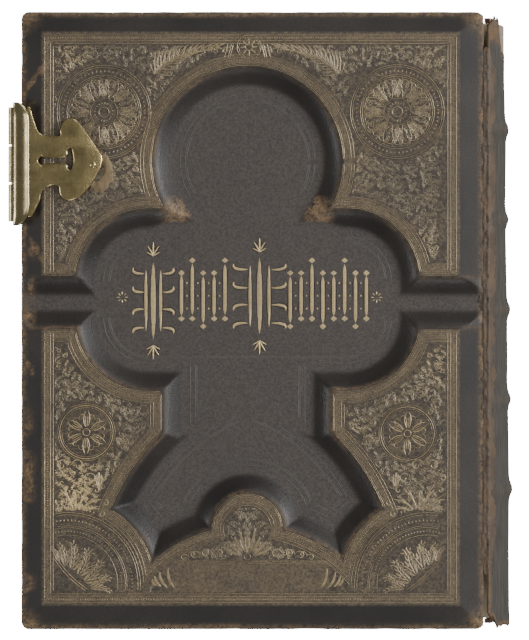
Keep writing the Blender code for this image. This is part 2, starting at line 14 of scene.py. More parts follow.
import bmesh
import bpy
import numpy as np
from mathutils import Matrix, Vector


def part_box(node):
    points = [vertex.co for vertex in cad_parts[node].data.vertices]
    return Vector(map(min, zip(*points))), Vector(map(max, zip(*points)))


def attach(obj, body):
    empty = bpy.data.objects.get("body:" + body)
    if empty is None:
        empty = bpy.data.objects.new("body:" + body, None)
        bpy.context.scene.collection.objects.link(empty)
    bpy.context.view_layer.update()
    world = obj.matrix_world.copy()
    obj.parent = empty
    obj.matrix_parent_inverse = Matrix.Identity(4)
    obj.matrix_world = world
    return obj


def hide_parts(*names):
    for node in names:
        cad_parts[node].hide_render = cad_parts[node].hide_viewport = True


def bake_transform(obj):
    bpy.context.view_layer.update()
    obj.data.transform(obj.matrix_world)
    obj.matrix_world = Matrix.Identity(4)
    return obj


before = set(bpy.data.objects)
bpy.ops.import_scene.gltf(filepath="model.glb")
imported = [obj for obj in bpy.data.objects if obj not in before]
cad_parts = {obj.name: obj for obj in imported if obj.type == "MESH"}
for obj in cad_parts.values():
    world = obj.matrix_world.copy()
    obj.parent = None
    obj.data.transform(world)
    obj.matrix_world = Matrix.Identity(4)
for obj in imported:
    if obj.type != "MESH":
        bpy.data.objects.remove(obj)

LOG = logging.getLogger("bible")
MM = 0.001
SHELL_SHARP = math.radians(40)
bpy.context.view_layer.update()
Array = np.ndarray
Piece = bpy.types.Object


# ---- numbers and meshes -------------------------------------------------------------
def smooth(low: float, high: float, x: Array) -> Array:
    """Zero below low, one above high, and 3t^2 - 2t^3 between them."""
    t = np.clip((x - low) / (high - low), 0.0, 1.0)
    return t * t * (3.0 - 2.0 * t)


def ripple(x: Array, y: Array, cell: float, seed: int) -> Array:
    """Smooth value noise between -1 and 1.

    Random values stand on a square lattice, and each point blends the four round it with
    3t^2 - 2t^3.

    Args:
        x, y: places, in metres.
        cell: the lattice's spacing, in metres.
        seed: picks the lattice's values.

    Returns:
        The noise at each place.
    """
    size = 256
    lattice = np.random.default_rng(seed).uniform(-1.0, 1.0, (size, size))
    i, j = np.floor(x / cell).astype(int), np.floor(y / cell).astype(int)
    s, t = x / cell - i, y / cell - j
    s, t = s * s * (3 - 2 * s), t * t * (3 - 2 * t)
    pick = lambda a, b: lattice[(i + a) % size, (j + b) % size]
    low = pick(0, 0) * (1 - s) + pick(1, 0) * s
    high = pick(0, 1) * (1 - s) + pick(1, 1) * s
    return low * (1 - t) + high * t


def make_mesh(name: str, points: Array, *faces: Array) -> Piece:
    """Puts points and faces into a new object at the origin.

    Args:
        name: the object's and the mesh's name.
        points: (n, 3) places.
        faces: arrays of corner numbers, one row a face, counter-clockwise seen from outside.

    Returns:
        The object, smooth shaded and linked to the scene.
    """
    faces = [np.atleast_2d(part) for part in faces]
    mesh = bpy.data.meshes.new(name)
    counts = np.concatenate([np.full(len(part), part.shape[1]) for part in faces]).astype(np.int32)
    loops = np.concatenate([part.ravel() for part in faces]).astype(np.int32)
    mesh.vertices.add(len(points))
    mesh.vertices.foreach_set("co", np.asarray(points, np.float32).ravel())
    mesh.loops.add(len(loops))
    mesh.loops.foreach_set("vertex_index", loops)
    mesh.polygons.add(len(counts))
    starts = np.concatenate([[0], np.cumsum(counts)[:-1]]).astype(np.int32)
    mesh.polygons.foreach_set("loop_start", starts)
    mesh.polygons.foreach_set("loop_total", counts)
    mesh.update(calc_edges=True)
    mesh.validate()
    mesh.shade_smooth()
    obj = bpy.data.objects.new(name, mesh)
    bpy.context.scene.collection.objects.link(obj)
    return obj


def grid_quads(rows: int, columns: int, wrap: bool = False) -> Array:
    """Faces of a grid whose points are numbered row by row.

    Args:
        rows, columns: the grid's counts of points.
        wrap: whether the last column joins the first.

    Returns:
        (m, 4) corner numbers.
    """
    index = np.arange(rows * columns).reshape(rows, columns)
    if wrap:
        index = np.concatenate([index, index[:, :1]], axis=1)
    a, b = index[:-1, :-1], index[:-1, 1:]
    c, d = index[1:, 1:], index[1:, :-1]
    return np.stack([a, b, c, d], axis=-1).reshape(-1, 4)


def shell(name: str, outer: Array, inner: Array) -> Piece:
    """A closed wall between two matching grids of points.

    The outer grid's faces turn away from the inner grid, the inner grid's are reversed, and
    strips close the four sides.

    Args:
        name: the new piece's name.
        outer, inner: (rows, columns, 3) places.

    Returns:
        The piece.
    """
    rows, columns, _ = outer.shape
    count = rows * columns
    faces = grid_quads(rows, columns)
    index = np.arange(count).reshape(rows, columns)
    loop = np.concatenate([index[0, :], index[1:, -1], index[-1, -2::-1], index[-2:0:-1, 0]])
    after = np.roll(loop, -1)
    sides = np.stack([after, loop, loop + count, after + count], axis=-1)
    points = np.concatenate([outer.reshape(-1, 3), inner.reshape(-1, 3)])
    obj = make_mesh(name, points, np.concatenate([faces, faces[:, ::-1] + count, sides]))
    obj.data.set_sharp_from_angle(angle=SHELL_SHARP)
    return obj


def sweep(name: str, sections: Array, sharp: float) -> Piece:
    """A closed skin through closed sections, with a flat face at each end.

    Args:
        name: the new piece's name.
        sections: (stations, corners, 3) places; corners run counter-clockwise seen from
            the first station looking towards the last.
        sharp: edges above this angle, in degrees, stay sharp.

    Returns:
        The piece.
    """
    stations, corners, _ = sections.shape
    faces = grid_quads(stations, corners, wrap=True)
    first = np.arange(corners)
    last = first[::-1] + (stations - 1) * corners
    obj = make_mesh(name, sections.reshape(-1, 3), faces[:, ::-1], np.stack([first, last]))
    fix_outwards(obj)
    obj.data.set_sharp_from_angle(angle=math.radians(sharp))
    return obj


def fix_outwards(obj: Piece) -> None:
    """Turns every face of a closed mesh outwards."""
    work = bmesh.new()
    work.from_mesh(obj.data)
    bmesh.ops.recalc_face_normals(work, faces=work.faces)
    work.to_mesh(obj.data)
    work.free()


def mark(obj: Piece, name: str, values: Array) -> None:
    """Stores one number per point for the material to read."""
    store = obj.data.attributes.new(name, "FLOAT", "POINT")
    store.data.foreach_set("value", np.asarray(values, np.float32).ravel())


# ---- finishes -----------------------------------------------------------------------
Socket = bpy.types.NodeSocket
Material = bpy.types.Material
MIX_COLOUR_A, MIX_COLOUR_B, MIX_COLOUR_OUT = 6, 7, 2


class Recipe:
    """A node material in the making, with the few kinds of node that this book needs."""

    def __init__(self, name: str) -> None:
        """Starts from a new material's Principled shader."""
        self.material = bpy.data.materials.new(name)
        self.material.use_nodes = True
        self.tree = self.material.node_tree
        self.shader = self.tree.nodes["Principled BSDF"]
        place = self.tree.nodes.new("ShaderNodeTexCoord")
        self.place = place.outputs["Object"]

    def link(self, source: Socket | float | tuple, target: Socket) -> None:
        """Joins an output, or sets a plain value."""
        if isinstance(source, Socket):
            self.tree.links.new(source, target)
        else:
            target.default_value = source

    def stretched(self, scale: tuple[float, float, float]) -> Socket:
        """Object coordinates, multiplied along each axis."""
        node = self.tree.nodes.new("ShaderNodeMapping")
        self.link(self.place, node.inputs["Vector"])
        node.inputs["Scale"].default_value = scale
        return node.outputs["Vector"]

    def noise(self, scale: float, detail: float = 3.0, rough: float = 0.5, vector: Socket = None) -> Socket:
        """Fractal noise, scale in cells a metre."""
        node = self.tree.nodes.new("ShaderNodeTexNoise")
        node.inputs["Scale"].default_value = scale
        node.inputs["Detail"].default_value = detail
        node.inputs["Roughness"].default_value = rough
        self.link(vector or self.place, node.inputs["Vector"])
        return node.outputs["Fac"]

    def cells(self, scale: float) -> Socket:
        """Distance to the nearest of scattered points, scale in cells a metre."""
        node = self.tree.nodes.new("ShaderNodeTexVoronoi")
        node.inputs["Scale"].default_value = scale
        self.link(self.place, node.inputs["Vector"])
        return node.outputs["Distance"]

    def attribute(self, name: str) -> Socket:
        """A number stored on the mesh's points."""
        node = self.tree.nodes.new("ShaderNodeAttribute")
        node.attribute_name = name
        return node.outputs["Fac"]

    def math(self, how: str, a: Socket | float, b: Socket | float = 0.0) -> Socket:
        """One arithmetic step, kept between 0 and 1 for ADD and MULTIPLY."""
        node = self.tree.nodes.new("ShaderNodeMath")
        node.operation = how
        node.use_clamp = how in ("ADD", "MULTIPLY")
        self.link(a, node.inputs[0])
        self.link(b, node.inputs[1])
        return node.outputs[0]

    def between(
        self, value: Socket, low: float, high: float, start: float = 0.0, end: float = 1.0
    ) -> Socket:
        """Maps low..high to start..end, without going past them."""
        node = self.tree.nodes.new("ShaderNodeMapRange")
        self.link(value, node.inputs["Value"])
        node.inputs["From Min"].default_value = low
        node.inputs["From Max"].default_value = high
        node.inputs["To Min"].default_value = start
        node.inputs["To Max"].default_value = end
        return node.outputs["Result"]

    def mix(self, amount: Socket | float, a: Socket | tuple, b: Socket | tuple) -> Socket:
        """Blends two colours."""
        node = self.tree.nodes.new("ShaderNodeMix")
        node.data_type = "RGBA"
        self.link(amount, node.inputs["Factor"])
        self.link(self.opaque(a), node.inputs[MIX_COLOUR_A])
        self.link(self.opaque(b), node.inputs[MIX_COLOUR_B])
        return node.outputs[MIX_COLOUR_OUT]

    def opaque(self, colour: Socket | tuple) -> Socket | tuple:
        """Adds the fourth value to a plain colour, and leaves an output as it is."""
        return colour if isinstance(colour, Socket) else (*colour, 1.0)

    def bump(self, height: Socket, depth: float, strength: float = 1.0, below: Socket = None) -> Socket:
        """A bump of the given depth, in metres, over an earlier one."""
        node = self.tree.nodes.new("ShaderNodeBump")
        node.inputs["Distance"].default_value = depth
        node.inputs["Strength"].default_value = strength
        self.link(height, node.inputs["Height"])
        if below is not None:
            self.link(below, node.inputs["Normal"])
        return node.outputs["Normal"]

    def finish(
        self, colour: Socket | tuple, roughness: Socket, normal: Socket = None, **fixed: float
    ) -> Material:
        """Feeds the shader and returns the material; fixed names sockets that take one value."""
        self.link(self.opaque(colour), self.shader.inputs["Base Color"])
        self.link(roughness, self.shader.inputs["Roughness"])
        if normal is not None:
            self.link(normal, self.shader.inputs["Normal"])
        for key, value in fixed.items():
            self.shader.inputs[key.replace("_", " ")].default_value = value
        return self.material


@dataclass(frozen=True)
class BoardLeather:
    """Black-brown leather with a fine grain, gilt bands, brown where it is rubbed, and painted shade on its
    slopes.
    """

    field: tuple = (0.050, 0.043, 0.038)
    # painted shade: the coves and outer bevels take this colour, far darker than the same leather on the
    # floor
    slope: tuple = (0.012, 0.0105, 0.009)
    ground: tuple = (0.064, 0.051, 0.036)
    bronze: tuple = (0.105, 0.080, 0.048)
    rubbed: tuple = (0.185, 0.122, 0.066)

    def material(self, name: str) -> Material:
        """Reads the attributes sunk, panel, shine, gilt and wear from the mesh."""
        r = Recipe(name)
        wide = r.noise(28.0, 4.0)
        fine = r.noise(900.0, 4.0, 0.65)
        # painted shade: where sunk is below one, on the coves and bevels, the colour is the dark slope
        # colour
        colour = r.mix(r.attribute("sunk"), self.slope, self.field)
        mottled = r.mix(r.between(r.noise(75.0, 5.0, 0.6), 0.40, 0.66), self.ground, self.bronze)
        hollows = r.mix(
            r.between(r.noise(650.0, 3.0, 0.6), 0.42, 0.60, 0.0, 0.75), mottled, (0.024, 0.020, 0.017)
        )
        colour = r.mix(r.attribute("panel"), colour, hollows)
        colour = r.mix(r.between(wide, 0.35, 0.7, 0.0, 0.22), colour, (0.060, 0.050, 0.042))
        gold = r.math(
            "MULTIPLY", r.attribute("gilt"), r.between(r.noise(120.0, 5.0, 0.7), 0.35, 0.62, 0.45, 1.0)
        )
        colour = r.mix(gold, colour, self.bronze)
        rub = r.math("MULTIPLY", r.attribute("wear"), r.between(r.noise(260.0, 5.0, 0.7), 0.34, 0.58))
        colour = r.mix(rub, colour, self.rubbed)
        colour = r.mix(r.between(fine, 0.38, 0.66, 0.0, 0.62), colour, (0.012, 0.010, 0.009))
        rough = r.math(
            "ADD", r.between(r.attribute("shine"), 0.0, 1.0, 0.64, 0.34), r.math("MULTIPLY", rub, 0.3)
        )
        grain = r.bump(r.cells(1500.0), 0.00012, 0.5)
        creases = r.bump(r.noise(420.0, 6.0, 0.7), 0.00022, 0.55, grain)
        return r.finish(colour, rough, creases, Specular_IOR_Level=0.25)


@dataclass(frozen=True)
class Gilding:
    """Gold leaf stamped into leather, dulled and partly rubbed away."""

    bright: tuple = (0.270, 0.204, 0.104)
    dull: tuple = (0.110, 0.085, 0.050)
    kept: tuple = (0.540, 0.400, 0.175)
    lost: float = 0.6

    def material(self, name: str) -> Material:
        """Mixes bright and dull gold with a wide and a narrow noise."""
        r = Recipe(name)
        patch = r.between(r.noise(22.0, 4.0), 0.40, 0.66)
        speck = r.between(r.noise(700.0, 4.0, 0.7), 0.30, 0.65)
        amount = r.math("MULTIPLY", r.math("ADD", patch, 1.0 - self.lost), speck)
        colour = r.mix(amount, self.dull, self.bright)
        colour = r.mix(r.math("MULTIPLY", r.attribute("kept"), speck), colour, self.kept)
        normal = r.bump(r.noise(1500.0, 3.0), 0.00005, 0.6)
        return r.finish(colour, 0.42, normal, Metallic=0.35)


@dataclass(frozen=True)
class PlainLeather:
    """Black-brown leather without gilding, cracked and rubbed."""

    base: tuple = (0.075, 0.064, 0.055)
    rubbed: tuple = (0.210, 0.130, 0.070)
    wear: float = 0.35

    def material(self, name: str) -> Material:
        """Noise picks the rubbed places, and stretched noise the cracks along the spine."""
        r = Recipe(name)
        patch = r.noise(60.0, 6.0, 0.65)
        lighter = tuple(1.7 * channel for channel in self.base)
        colour = r.mix(r.between(r.noise(25.0, 3.0), 0.3, 0.7, 0.0, 0.5), self.base, lighter)
        colour = r.mix(r.between(patch, 0.72 - self.wear * 0.5, 0.78, 0.0, 0.9), colour, self.rubbed)
        cracks = r.noise(60.0, 6.0, 0.75, r.stretched((14.0, 1.6, 14.0)))
        colour = r.mix(r.between(cracks, 0.55, 0.75, 0.0, 0.5), colour, (0.020, 0.016, 0.013))
        rough = r.between(patch, 0.3, 0.7, 0.45, 0.75)
        normal = r.bump(cracks, 0.0006, 0.5, r.bump(r.cells(1300.0), 0.00015, 0.5))
        return r.finish(colour, rough, normal, Specular_IOR_Level=0.25)


@dataclass(frozen=True)
class SpineLeather:
    """The spine's greyer leather, with brown where it is torn or rubbed."""

    base: tuple = (0.043, 0.040, 0.035)
    deep: tuple = (0.012, 0.010, 0.008)
    rubbed: tuple = (0.085, 0.055, 0.032)

    def material(self, name: str) -> Material:
        """Reads the attribute wear; noise stretched along the spine streaks it."""
        r = Recipe(name)
        streak = r.noise(60.0, 6.0, 0.7, r.stretched((12.0, 1.0, 12.0)))
        colour = r.mix(r.between(streak, 0.40, 0.68, 0.0, 0.6), self.base, self.deep)
        rub = r.math("MULTIPLY", r.attribute("wear"), r.between(r.noise(300.0, 5.0, 0.7), 0.30, 0.55))
        colour = r.mix(rub, colour, self.rubbed)
        normal = r.bump(streak, 0.0005, 0.5, r.bump(r.cells(1200.0), 0.00015, 0.5))
        return r.finish(colour, r.between(streak, 0.3, 0.7, 0.7, 0.9), normal, Specular_IOR_Level=0.12)


@dataclass(frozen=True)
class Brass:
    """Old brass: bright in patches, olive-brown tarnish elsewhere."""

    bright: tuple = (0.480, 0.385, 0.185)
    tarnish: tuple = (0.120, 0.098, 0.046)

    def material(self, name: str) -> Material:
        """Wide noise lays the tarnish, and fine noise scratches it."""
        r = Recipe(name)
        wide = r.noise(90.0, 5.0, 0.6)
        fine = r.noise(900.0, 4.0, 0.7, r.stretched((1.0, 0.25, 1.0)))
        amount = r.math(
            "MULTIPLY", r.between(wide, 0.36, 0.64, 0.25, 1.0), r.between(fine, 0.25, 0.65, 0.6, 1.0)
        )
        colour = r.mix(amount, self.tarnish, self.bright)
        rough = r.between(wide, 0.3, 0.7, 0.36, 0.20)
        normal = r.bump(fine, 0.00006, 0.5, r.bump(r.noise(240.0, 3.0), 0.0002, 0.35))
        return r.finish(colour, rough, normal, Metallic=1.0)


@dataclass(frozen=True)
class Paper:
    """Aged rag paper, browner towards the stains."""

    base: tuple = (0.680, 0.590, 0.430)
    stain: tuple = (0.430, 0.310, 0.170)
    amount: float = 0.5

    def material(self, name: str) -> Material:
        """Wide noise for foxing, fine noise for fibre."""
        r = Recipe(name)
        blot = r.between(r.noise(18.0, 6.0, 0.6), 0.42, 0.75, 0.0, self.amount)
        colour = r.mix(blot, self.base, self.stain)
        colour = r.mix(r.between(r.noise(1200.0, 3.0), 0.3, 0.8, 0.0, 0.18), colour, (0.300, 0.220, 0.120))
        normal = r.bump(r.noise(900.0, 4.0), 0.00008, 0.5)
        return r.finish(colour, 0.85, normal, Specular_IOR_Level=0.25)


@dataclass(frozen=True)
class PageEdges:
    """The cut edges of many leaves, once gilt: fine lines along the leaves, gold worn thin."""

    gold: tuple = (0.420, 0.270, 0.100)
    paper: tuple = (0.420, 0.310, 0.180)
    dirt: tuple = (0.160, 0.110, 0.060)

    def material(self, name: str) -> Material:
        """Noise stretched hard along the leaves draws them one by one."""
        r = Recipe(name)
        leaves = r.noise(60.0, 3.0, 0.7, r.stretched((0.35, 0.35, 55.0)))
        colour = r.mix(r.between(r.noise(35.0, 5.0), 0.38, 0.62), self.paper, self.gold)
        colour = r.mix(r.between(leaves, 0.45, 0.8, 0.0, 0.8), colour, self.dirt)
        normal = r.bump(leaves, 0.0004, 0.8)
        return r.finish(colour, 0.55, normal, Metallic=0.2)


@dataclass(frozen=True)
class Cloth:
    """Woven linen, or silk in stripes along the spine's round."""

    base: tuple = (0.520, 0.460, 0.350)
    stripe: tuple = (0.520, 0.460, 0.350)

    def material(self, name: str) -> Material:
        """Two crossed waves for the weave, and a slow wave for the stripes."""
        r = Recipe(name)
        wave = r.tree.nodes.new("ShaderNodeTexWave")
        wave.bands_direction = "Z"
        wave.inputs["Scale"].default_value = 130.0
        r.link(r.place, wave.inputs["Vector"])
        weave = r.noise(900.0, 2.0, 0.5, r.stretched((1.0, 3.0, 1.0)))
        colour = r.mix(r.between(wave.outputs["Fac"], 0.45, 0.55), self.base, self.stripe)
        return r.finish(colour, 0.8, r.bump(weave, 0.0002, 0.7), Sheen_Weight=0.2)


# ---- the stamping -------------------------------------------------------------------
@dataclass(frozen=True)
class Stamping:
    """The sunk field of a board: its outline as a signed distance, and its depth.

    The outline is the union of a round top lobe, a wide lozenge with round ends, the channels
    to the fore edge and the spine, a stem, and a flared foot. The distance of a union is the
    least of its parts', and of a cut the greatest, so coves meet in mitres.
    """

    lobe_v: float = 81.9 * MM
    lobe_r: float = 48.3 * MM
    wide_v: float = 10.8 * MM
    wide_half: tuple = (87.8 * MM, 46.2 * MM)
    wide_r: float = 37.0 * MM
    notch_v: float = 9.25 * MM
    notch_half: float = 13.1 * MM
    stem_half: float = 43.1 * MM
    stem_v: tuple = (-68.0 * MM, -5.0 * MM)
    flare_u: float = 35.5 * MM
    flare_v: float = -139.3 * MM
    flare_r: float = 113.0 * MM
    fan: tuple = (92.2 * MM, -135.8 * MM, 45.5 * MM)
    arch_v: float = -179.5 * MM
    arch_r: float = 75.0 * MM
    tympanum_v: float = -107.1 * MM
    tympanum_r: float = 19.0 * MM
    cove: float = 12.6 * MM
    waist_steep: float = 0.5

    def lobe(self, u: Array, v: Array) -> Array:
        """The top lobe: a circle that runs on in two straight sides to a point below."""
        top = self.wide_v + self.wide_half[1]
        side = math.sqrt(self.lobe_r**2 - (self.lobe_v - top) ** 2) / self.lobe_r
        down = (self.lobe_v - top) / self.lobe_r
        q = v - self.lobe_v
        round_part = np.hypot(u, q) - self.lobe_r
        straight = np.abs(u) * side - q * down - self.lobe_r
        return np.where(-q > np.hypot(u, q) * down, straight, round_part)

    def wide(self, u: Array, v: Array) -> Array:
        """The lozenge: a box with round corners, steeper over the waist."""
        a = np.abs(u) - self.wide_half[0] + self.wide_r
        b = np.abs(v - self.wide_v) - self.wide_half[1] + self.wide_r
        distance = (
            np.hypot(np.maximum(a, 0), np.maximum(b, 0)) + np.minimum(np.maximum(a, b), 0) - self.wide_r
        )
        waist = smooth(self.wide_half[0] - self.wide_r, 0.75 * (self.wide_half[0] - self.wide_r), np.abs(u))
        inside = distance * (1 + self.waist_steep * waist * (v > self.wide_v))
        return np.where(distance < 0, inside, distance)

    def notch(self, u: Array, v: Array) -> Array:
        """The channels that run out to both sides."""
        return np.abs(v - self.notch_v) - self.notch_half + 0 * u

    def stem(self, u: Array, v: Array) -> Array:
        """The stem's box."""
        low, high = self.stem_v
        return np.maximum(np.abs(u) - self.stem_half, np.abs(v - (low + high) / 2) - (high - low) / 2)

    def foot(self, u: Array, v: Array) -> Array:
        """The flared foot: inside two wide circles, outside the fans, arch and tympanum."""
        a = np.abs(u)
        parts = [
            np.hypot(a + self.flare_u, v - self.flare_v) - self.flare_r,
            self.fan[2] - np.hypot(a - self.fan[0], v - self.fan[1]),
            self.arch_r - np.hypot(u, v - self.arch_v),
            self.tympanum_r - np.hypot(u, v - self.tympanum_v),
        ]
        return np.maximum.reduce(parts)

    def distance(self, u: Array, v: Array) -> Array:
        """Signed distance to the sunk field's rim: negative inside it."""
        parts = [self.lobe(u, v), self.wide(u, v), self.notch(u, v), self.stem(u, v), self.foot(u, v)]
        return np.minimum.reduce(parts)

    def sunk(self, u: Array, v: Array) -> Array:
        """How far the cove has dropped, from 0 at the rim to 1 on the floor."""
        t = np.clip(-self.distance(u, v) / self.cove, 0.0, 1.0)
        return 1.0 - (1.0 - t**0.86) ** 1.9

    def outlines(self, away: float) -> list[Array]:
        """Lines at one distance from the rim, positive on the panels.

        Each part's own parallel curve is sampled, and the stretches where that part gives the
        distance are kept.

        Args:
            away: the distance, in metres.

        Returns:
            A list of (n, 2) lines.
        """
        turn = np.linspace(0, 2 * np.pi, 721)
        circle = lambda cu, cv, radius: np.stack(
            [cu + radius * np.cos(turn), cv + radius * np.sin(turn)], 1
        )
        straight = lambda p, q: np.linspace(p, q, 400)
        wu, wv = self.wide_half[0] - self.wide_r, self.wide_half[1] - self.wide_r
        reach = 125 * MM
        curves = [circle(0, self.lobe_v, self.lobe_r + away), circle(0, self.arch_v, self.arch_r - away)]
        curves += [circle(0, self.tympanum_v, self.tympanum_r - away)]
        for side in (-1, 1):
            curves += [circle(-side * self.flare_u, self.flare_v, self.flare_r + away)]
            curves += [circle(side * self.fan[0], self.fan[1], self.fan[2] - away)]
            notch = self.notch_v + side * (self.notch_half + away)
            curves += [straight((-reach, notch), (reach, notch))]
            stem = side * (self.stem_half + away)
            curves += [straight((stem, self.stem_v[0]), (stem, self.stem_v[1]))]
            level = self.wide_v + side * (self.wide_half[1] + away)
            curves += [straight((-wu, level), (wu, level))]
            curves += [circle(side * wu, self.wide_v + s * wv, self.wide_r + away) for s in (-1, 1)]
        lines = []
        for curve in curves:
            near = np.abs(self.distance(curve[:, 0], curve[:, 1]) - away) < 0.05 * MM
            breaks = np.flatnonzero(np.diff(near.astype(int))) + 1
            for run, kept in zip(np.split(curve, breaks), np.split(near, breaks)):
                if kept[0] and len(run) > 5:
                    lines.append(run)
        return lines


# ---- a board's leather --------------------------------------------------------------
@dataclass
class BoardCover:
    """The leather over one board, with its two stamped panels, sunk field and turn-ins."""

    side: str
    outwards: int
    stamping: Stamping
    cell: float = 0.98 * MM
    edge_round: float = 1.3 * MM
    corner_round: float = 4.0 * MM
    turned: float = 14.0 * MM
    bevels: tuple = (10.8 * MM, 12.8 * MM, 12.8 * MM, 10.8 * MM)
    axis_shift: float = -2.6 * MM
    tears: tuple = (
        ((-112.2, 130.5), (-123.4, 117.0)),
        ((-122.3, 46.5), (-113.4, 32.0)),
        ((-121.5, -68.0), (-118.4, -84.0)),
        ((-122.0, -20.0), (-118.0, -27.0)),
    )
    panel_top: float = field(init=False)

    def __post_init__(self) -> None:
        """Reads the board's place from the frame."""
        low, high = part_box(f"{self.side}_cover_leather")
        panel_low, panel_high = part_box(f"{self.side}_head_panel")
        self.x = (low[0], high[0])
        self.y = (low[1], high[1])
        self.inner = low[2] if self.outwards > 0 else high[2]
        self.rim = high[2] if self.outwards > 0 else low[2]
        self.panel_top = panel_high[2] if self.outwards > 0 else panel_low[2]
        self.rise = abs(self.panel_top - self.rim)
        self.axis = (low[0] + high[0]) / 2 + self.axis_shift

    def to_board(self, x: Array, y: Array) -> tuple[Array, Array]:
        """World x, y to the stamping's u, v."""
        return x - self.axis, y

    def slope_out(self, x: Array, y: Array) -> Array:
        """0 on the panels to 1 at the board's edges, down plane mitred bevels."""
        left, right, low, high = self.bevels
        parts = [
            (self.x[0] + left - x) / left,
            (x - self.x[1] + right) / right,
            (self.y[0] + low - y) / low,
            (y - self.y[1] + high) / high,
        ]
        return np.clip(np.maximum.reduce(parts), 0.0, 1.0)

    def drop(self, x: Array, y: Array) -> Array:
        """How far the leather lies below the panels, in metres."""
        u, v = self.to_board(x, y)
        out = self.slope_out(x, y)
        return self.rise * np.maximum(self.stamping.sunk(u, v), out * 0.98)

    def z_at(self, x: Array, y: Array) -> Array:
        """Height of the outer leather."""
        return self.panel_top - self.outwards * self.drop(x, y)

    def gilt_bands(self, x: Array, y: Array) -> Array:
        """Where the leather itself is gilt: a strip along the panels' edges and the rim."""
        u, v = self.to_board(x, y)
        rim = self.stamping.distance(u, v)
        left, right, low, high = self.bevels
        parts = [x - self.x[0] - left, self.x[1] - right - x, y - self.y[0] - low, self.y[1] - high - y]
        border = np.minimum.reduce(parts)
        strip = smooth(1.2 * MM, 1.8 * MM, rim) * (1 - smooth(6.2 * MM, 6.9 * MM, rim))
        edge = smooth(0.4 * MM, 1.0 * MM, border) * (1 - smooth(5.6 * MM, 6.2 * MM, border))
        bands = np.maximum(strip * (border > 0.5 * MM), edge * (rim > 1.2 * MM))
        plaque = (u > -38.8 * MM) & (u < 42.4 * MM) & (v < -123.5 * MM) & (v > -139.5 * MM)
        return np.maximum(bands, plaque * 0.75)

    def kept(self, x: Array, y: Array) -> Array:
        """Where the gold has stayed bright: low on the fore edge's side, and a little elsewhere."""
        u, v = self.to_board(x, y)
        spots = (
            (-103.5, -75.0, 4.0, 7.5), (-103.5, -91.5, 4.0, 7.5), (-88.0, -86.0, 12.0, 15.0),
            (-83.0, -57.0, 14.0, 16.0)
        )
        bright = [
            w * np.exp(-(((u / MM - a) / c) ** 2) - ((v / MM - b) / d) ** 2) for (a, b, c, d),
            w in zip(spots, (1, 1, 0.9, 0.35))
        ]
        return np.clip(np.add.reduce(bright) + 0.25 * smooth(0.3, 0.9, ripple(x, y, 19 * MM, 17)), 0.0, 1.0)

    def torn(self, x: Array, y: Array) -> Array:
        """1 on a tear in the fore edge's bevel, falling to 0 beside it, by the distance to its segment."""
        near = np.zeros_like(x)
        shake = 1.1 * MM * ripple(x, y, 2.4 * MM, 19)
        for start, end in np.array(self.tears) * MM:
            along = end - start
            t = np.clip(((x - start[0]) * along[0] + (y - start[1]) * along[1]) / (along @ along), 0.0, 1.0)
            away = np.hypot(x - start[0] - t * along[0], y - start[1] - t * along[1])
            near = np.maximum(near, 1 - smooth(0.7 * MM, 2.0 * MM, away + shake))
        return near

    def worn(self, x: Array, y: Array) -> Array:
        """How rubbed the leather is: along board edges, at corners and on the cusps."""
        u, v = self.to_board(x, y)
        rim = self.stamping.distance(u, v)
        inset = np.minimum.reduce([x - self.x[0], self.x[1] - x, y - self.y[0], self.y[1] - y])
        patch = 0.5 + 0.5 * ripple(x, y, 17 * MM, 5)
        edge = (1 - smooth(0.5 * MM, 4.0 * MM, inset)) * (0.35 + 0.65 * patch)
        corner_x = np.minimum(x - self.x[0], self.x[1] - x)
        corner_y = np.minimum(y - self.y[0], self.y[1] - y)
        corner = 1 - smooth(3 * MM, 14 * MM, np.hypot(corner_x, corner_y))
        ridge = (1 - smooth(0.3 * MM, 1.6 * MM, np.abs(rim + 0.2 * MM))) * 0.55 * patch
        top = self.stamping.wide_v + self.stamping.wide_half[1]
        cusp = np.hypot(np.abs(u) - 36.5 * MM, v - top + 1.0 * MM)
        tip = (1 - smooth(3 * MM, 11 * MM, cusp)) * (rim > -9 * MM) * (np.abs(v - top) < 7 * MM)
        crack = (
            (1 - smooth(3 * MM, 9 * MM, x - self.x[0])) * smooth(0.1, 0.6,
            ripple(x, y, 9 * MM, 8)) * 0.8
        )
        return np.clip(np.maximum.reduce([edge, corner, ridge, tip, crack, self.torn(x, y)]), 0, 1)

    def build(self, leather: Material) -> Piece:
        """The whole skin, as one closed piece.

        The outer face is a grid over x, y whose height is the panels' less the drop; points
        near the rim and the floor's outline are moved onto them. Rings carry its edge round
        the board to the turn-ins.

        Args:
            leather: the finish.

        Returns:
            The piece.
        """
        inset = self.edge_round
        xs = np.linspace(self.x[0] + inset, self.x[1] - inset, round((self.x[1] - self.x[0]) / self.cell))
        ys = np.linspace(self.y[0] + inset, self.y[1] - inset, round((self.y[1] - self.y[0]) / self.cell))
        x, y = np.meshgrid(xs, ys)
        xs_full, ys_full = x.ravel(), y.ravel()
        x, y = self.onto_outline(x, y, 0.0)
        x, y = self.onto_outline(x, y, -self.stamping.cove)
        x, y = self.round_corners(x, y)
        z = self.z_at(x, y)
        z += self.outwards * 0.02 * MM * ripple(x, y, 6 * MM, 3)
        rows, columns = x.shape
        top = np.stack([x, y, z], -1).reshape(-1, 3)
        faces = grid_quads(rows, columns)
        index = np.arange(rows * columns).reshape(rows, columns)
        loop = np.concatenate([index[0, :-1], index[:-1, -1], index[-1, :0:-1], index[:0:-1, 0]])
        edge = np.stack([xs_full[loop], ys_full[loop], z.ravel()[loop]], -1)
        rings, ring_faces = self.rings(edge, len(top), loop)
        centre = np.arange(len(loop)) + len(top) + (len(rings) - 1) * len(loop)
        points = np.concatenate([top, *rings])
        quads = np.concatenate([faces, *ring_faces])
        last = centre[::-1]
        if self.outwards < 0:
            quads, last = quads[:, ::-1], centre
        obj = make_mesh(f"{self.side}_leather", points, quads, last)
        obj.data.set_sharp_from_angle(angle=math.radians(50))
        self.dress(obj, points, leather)
        return obj

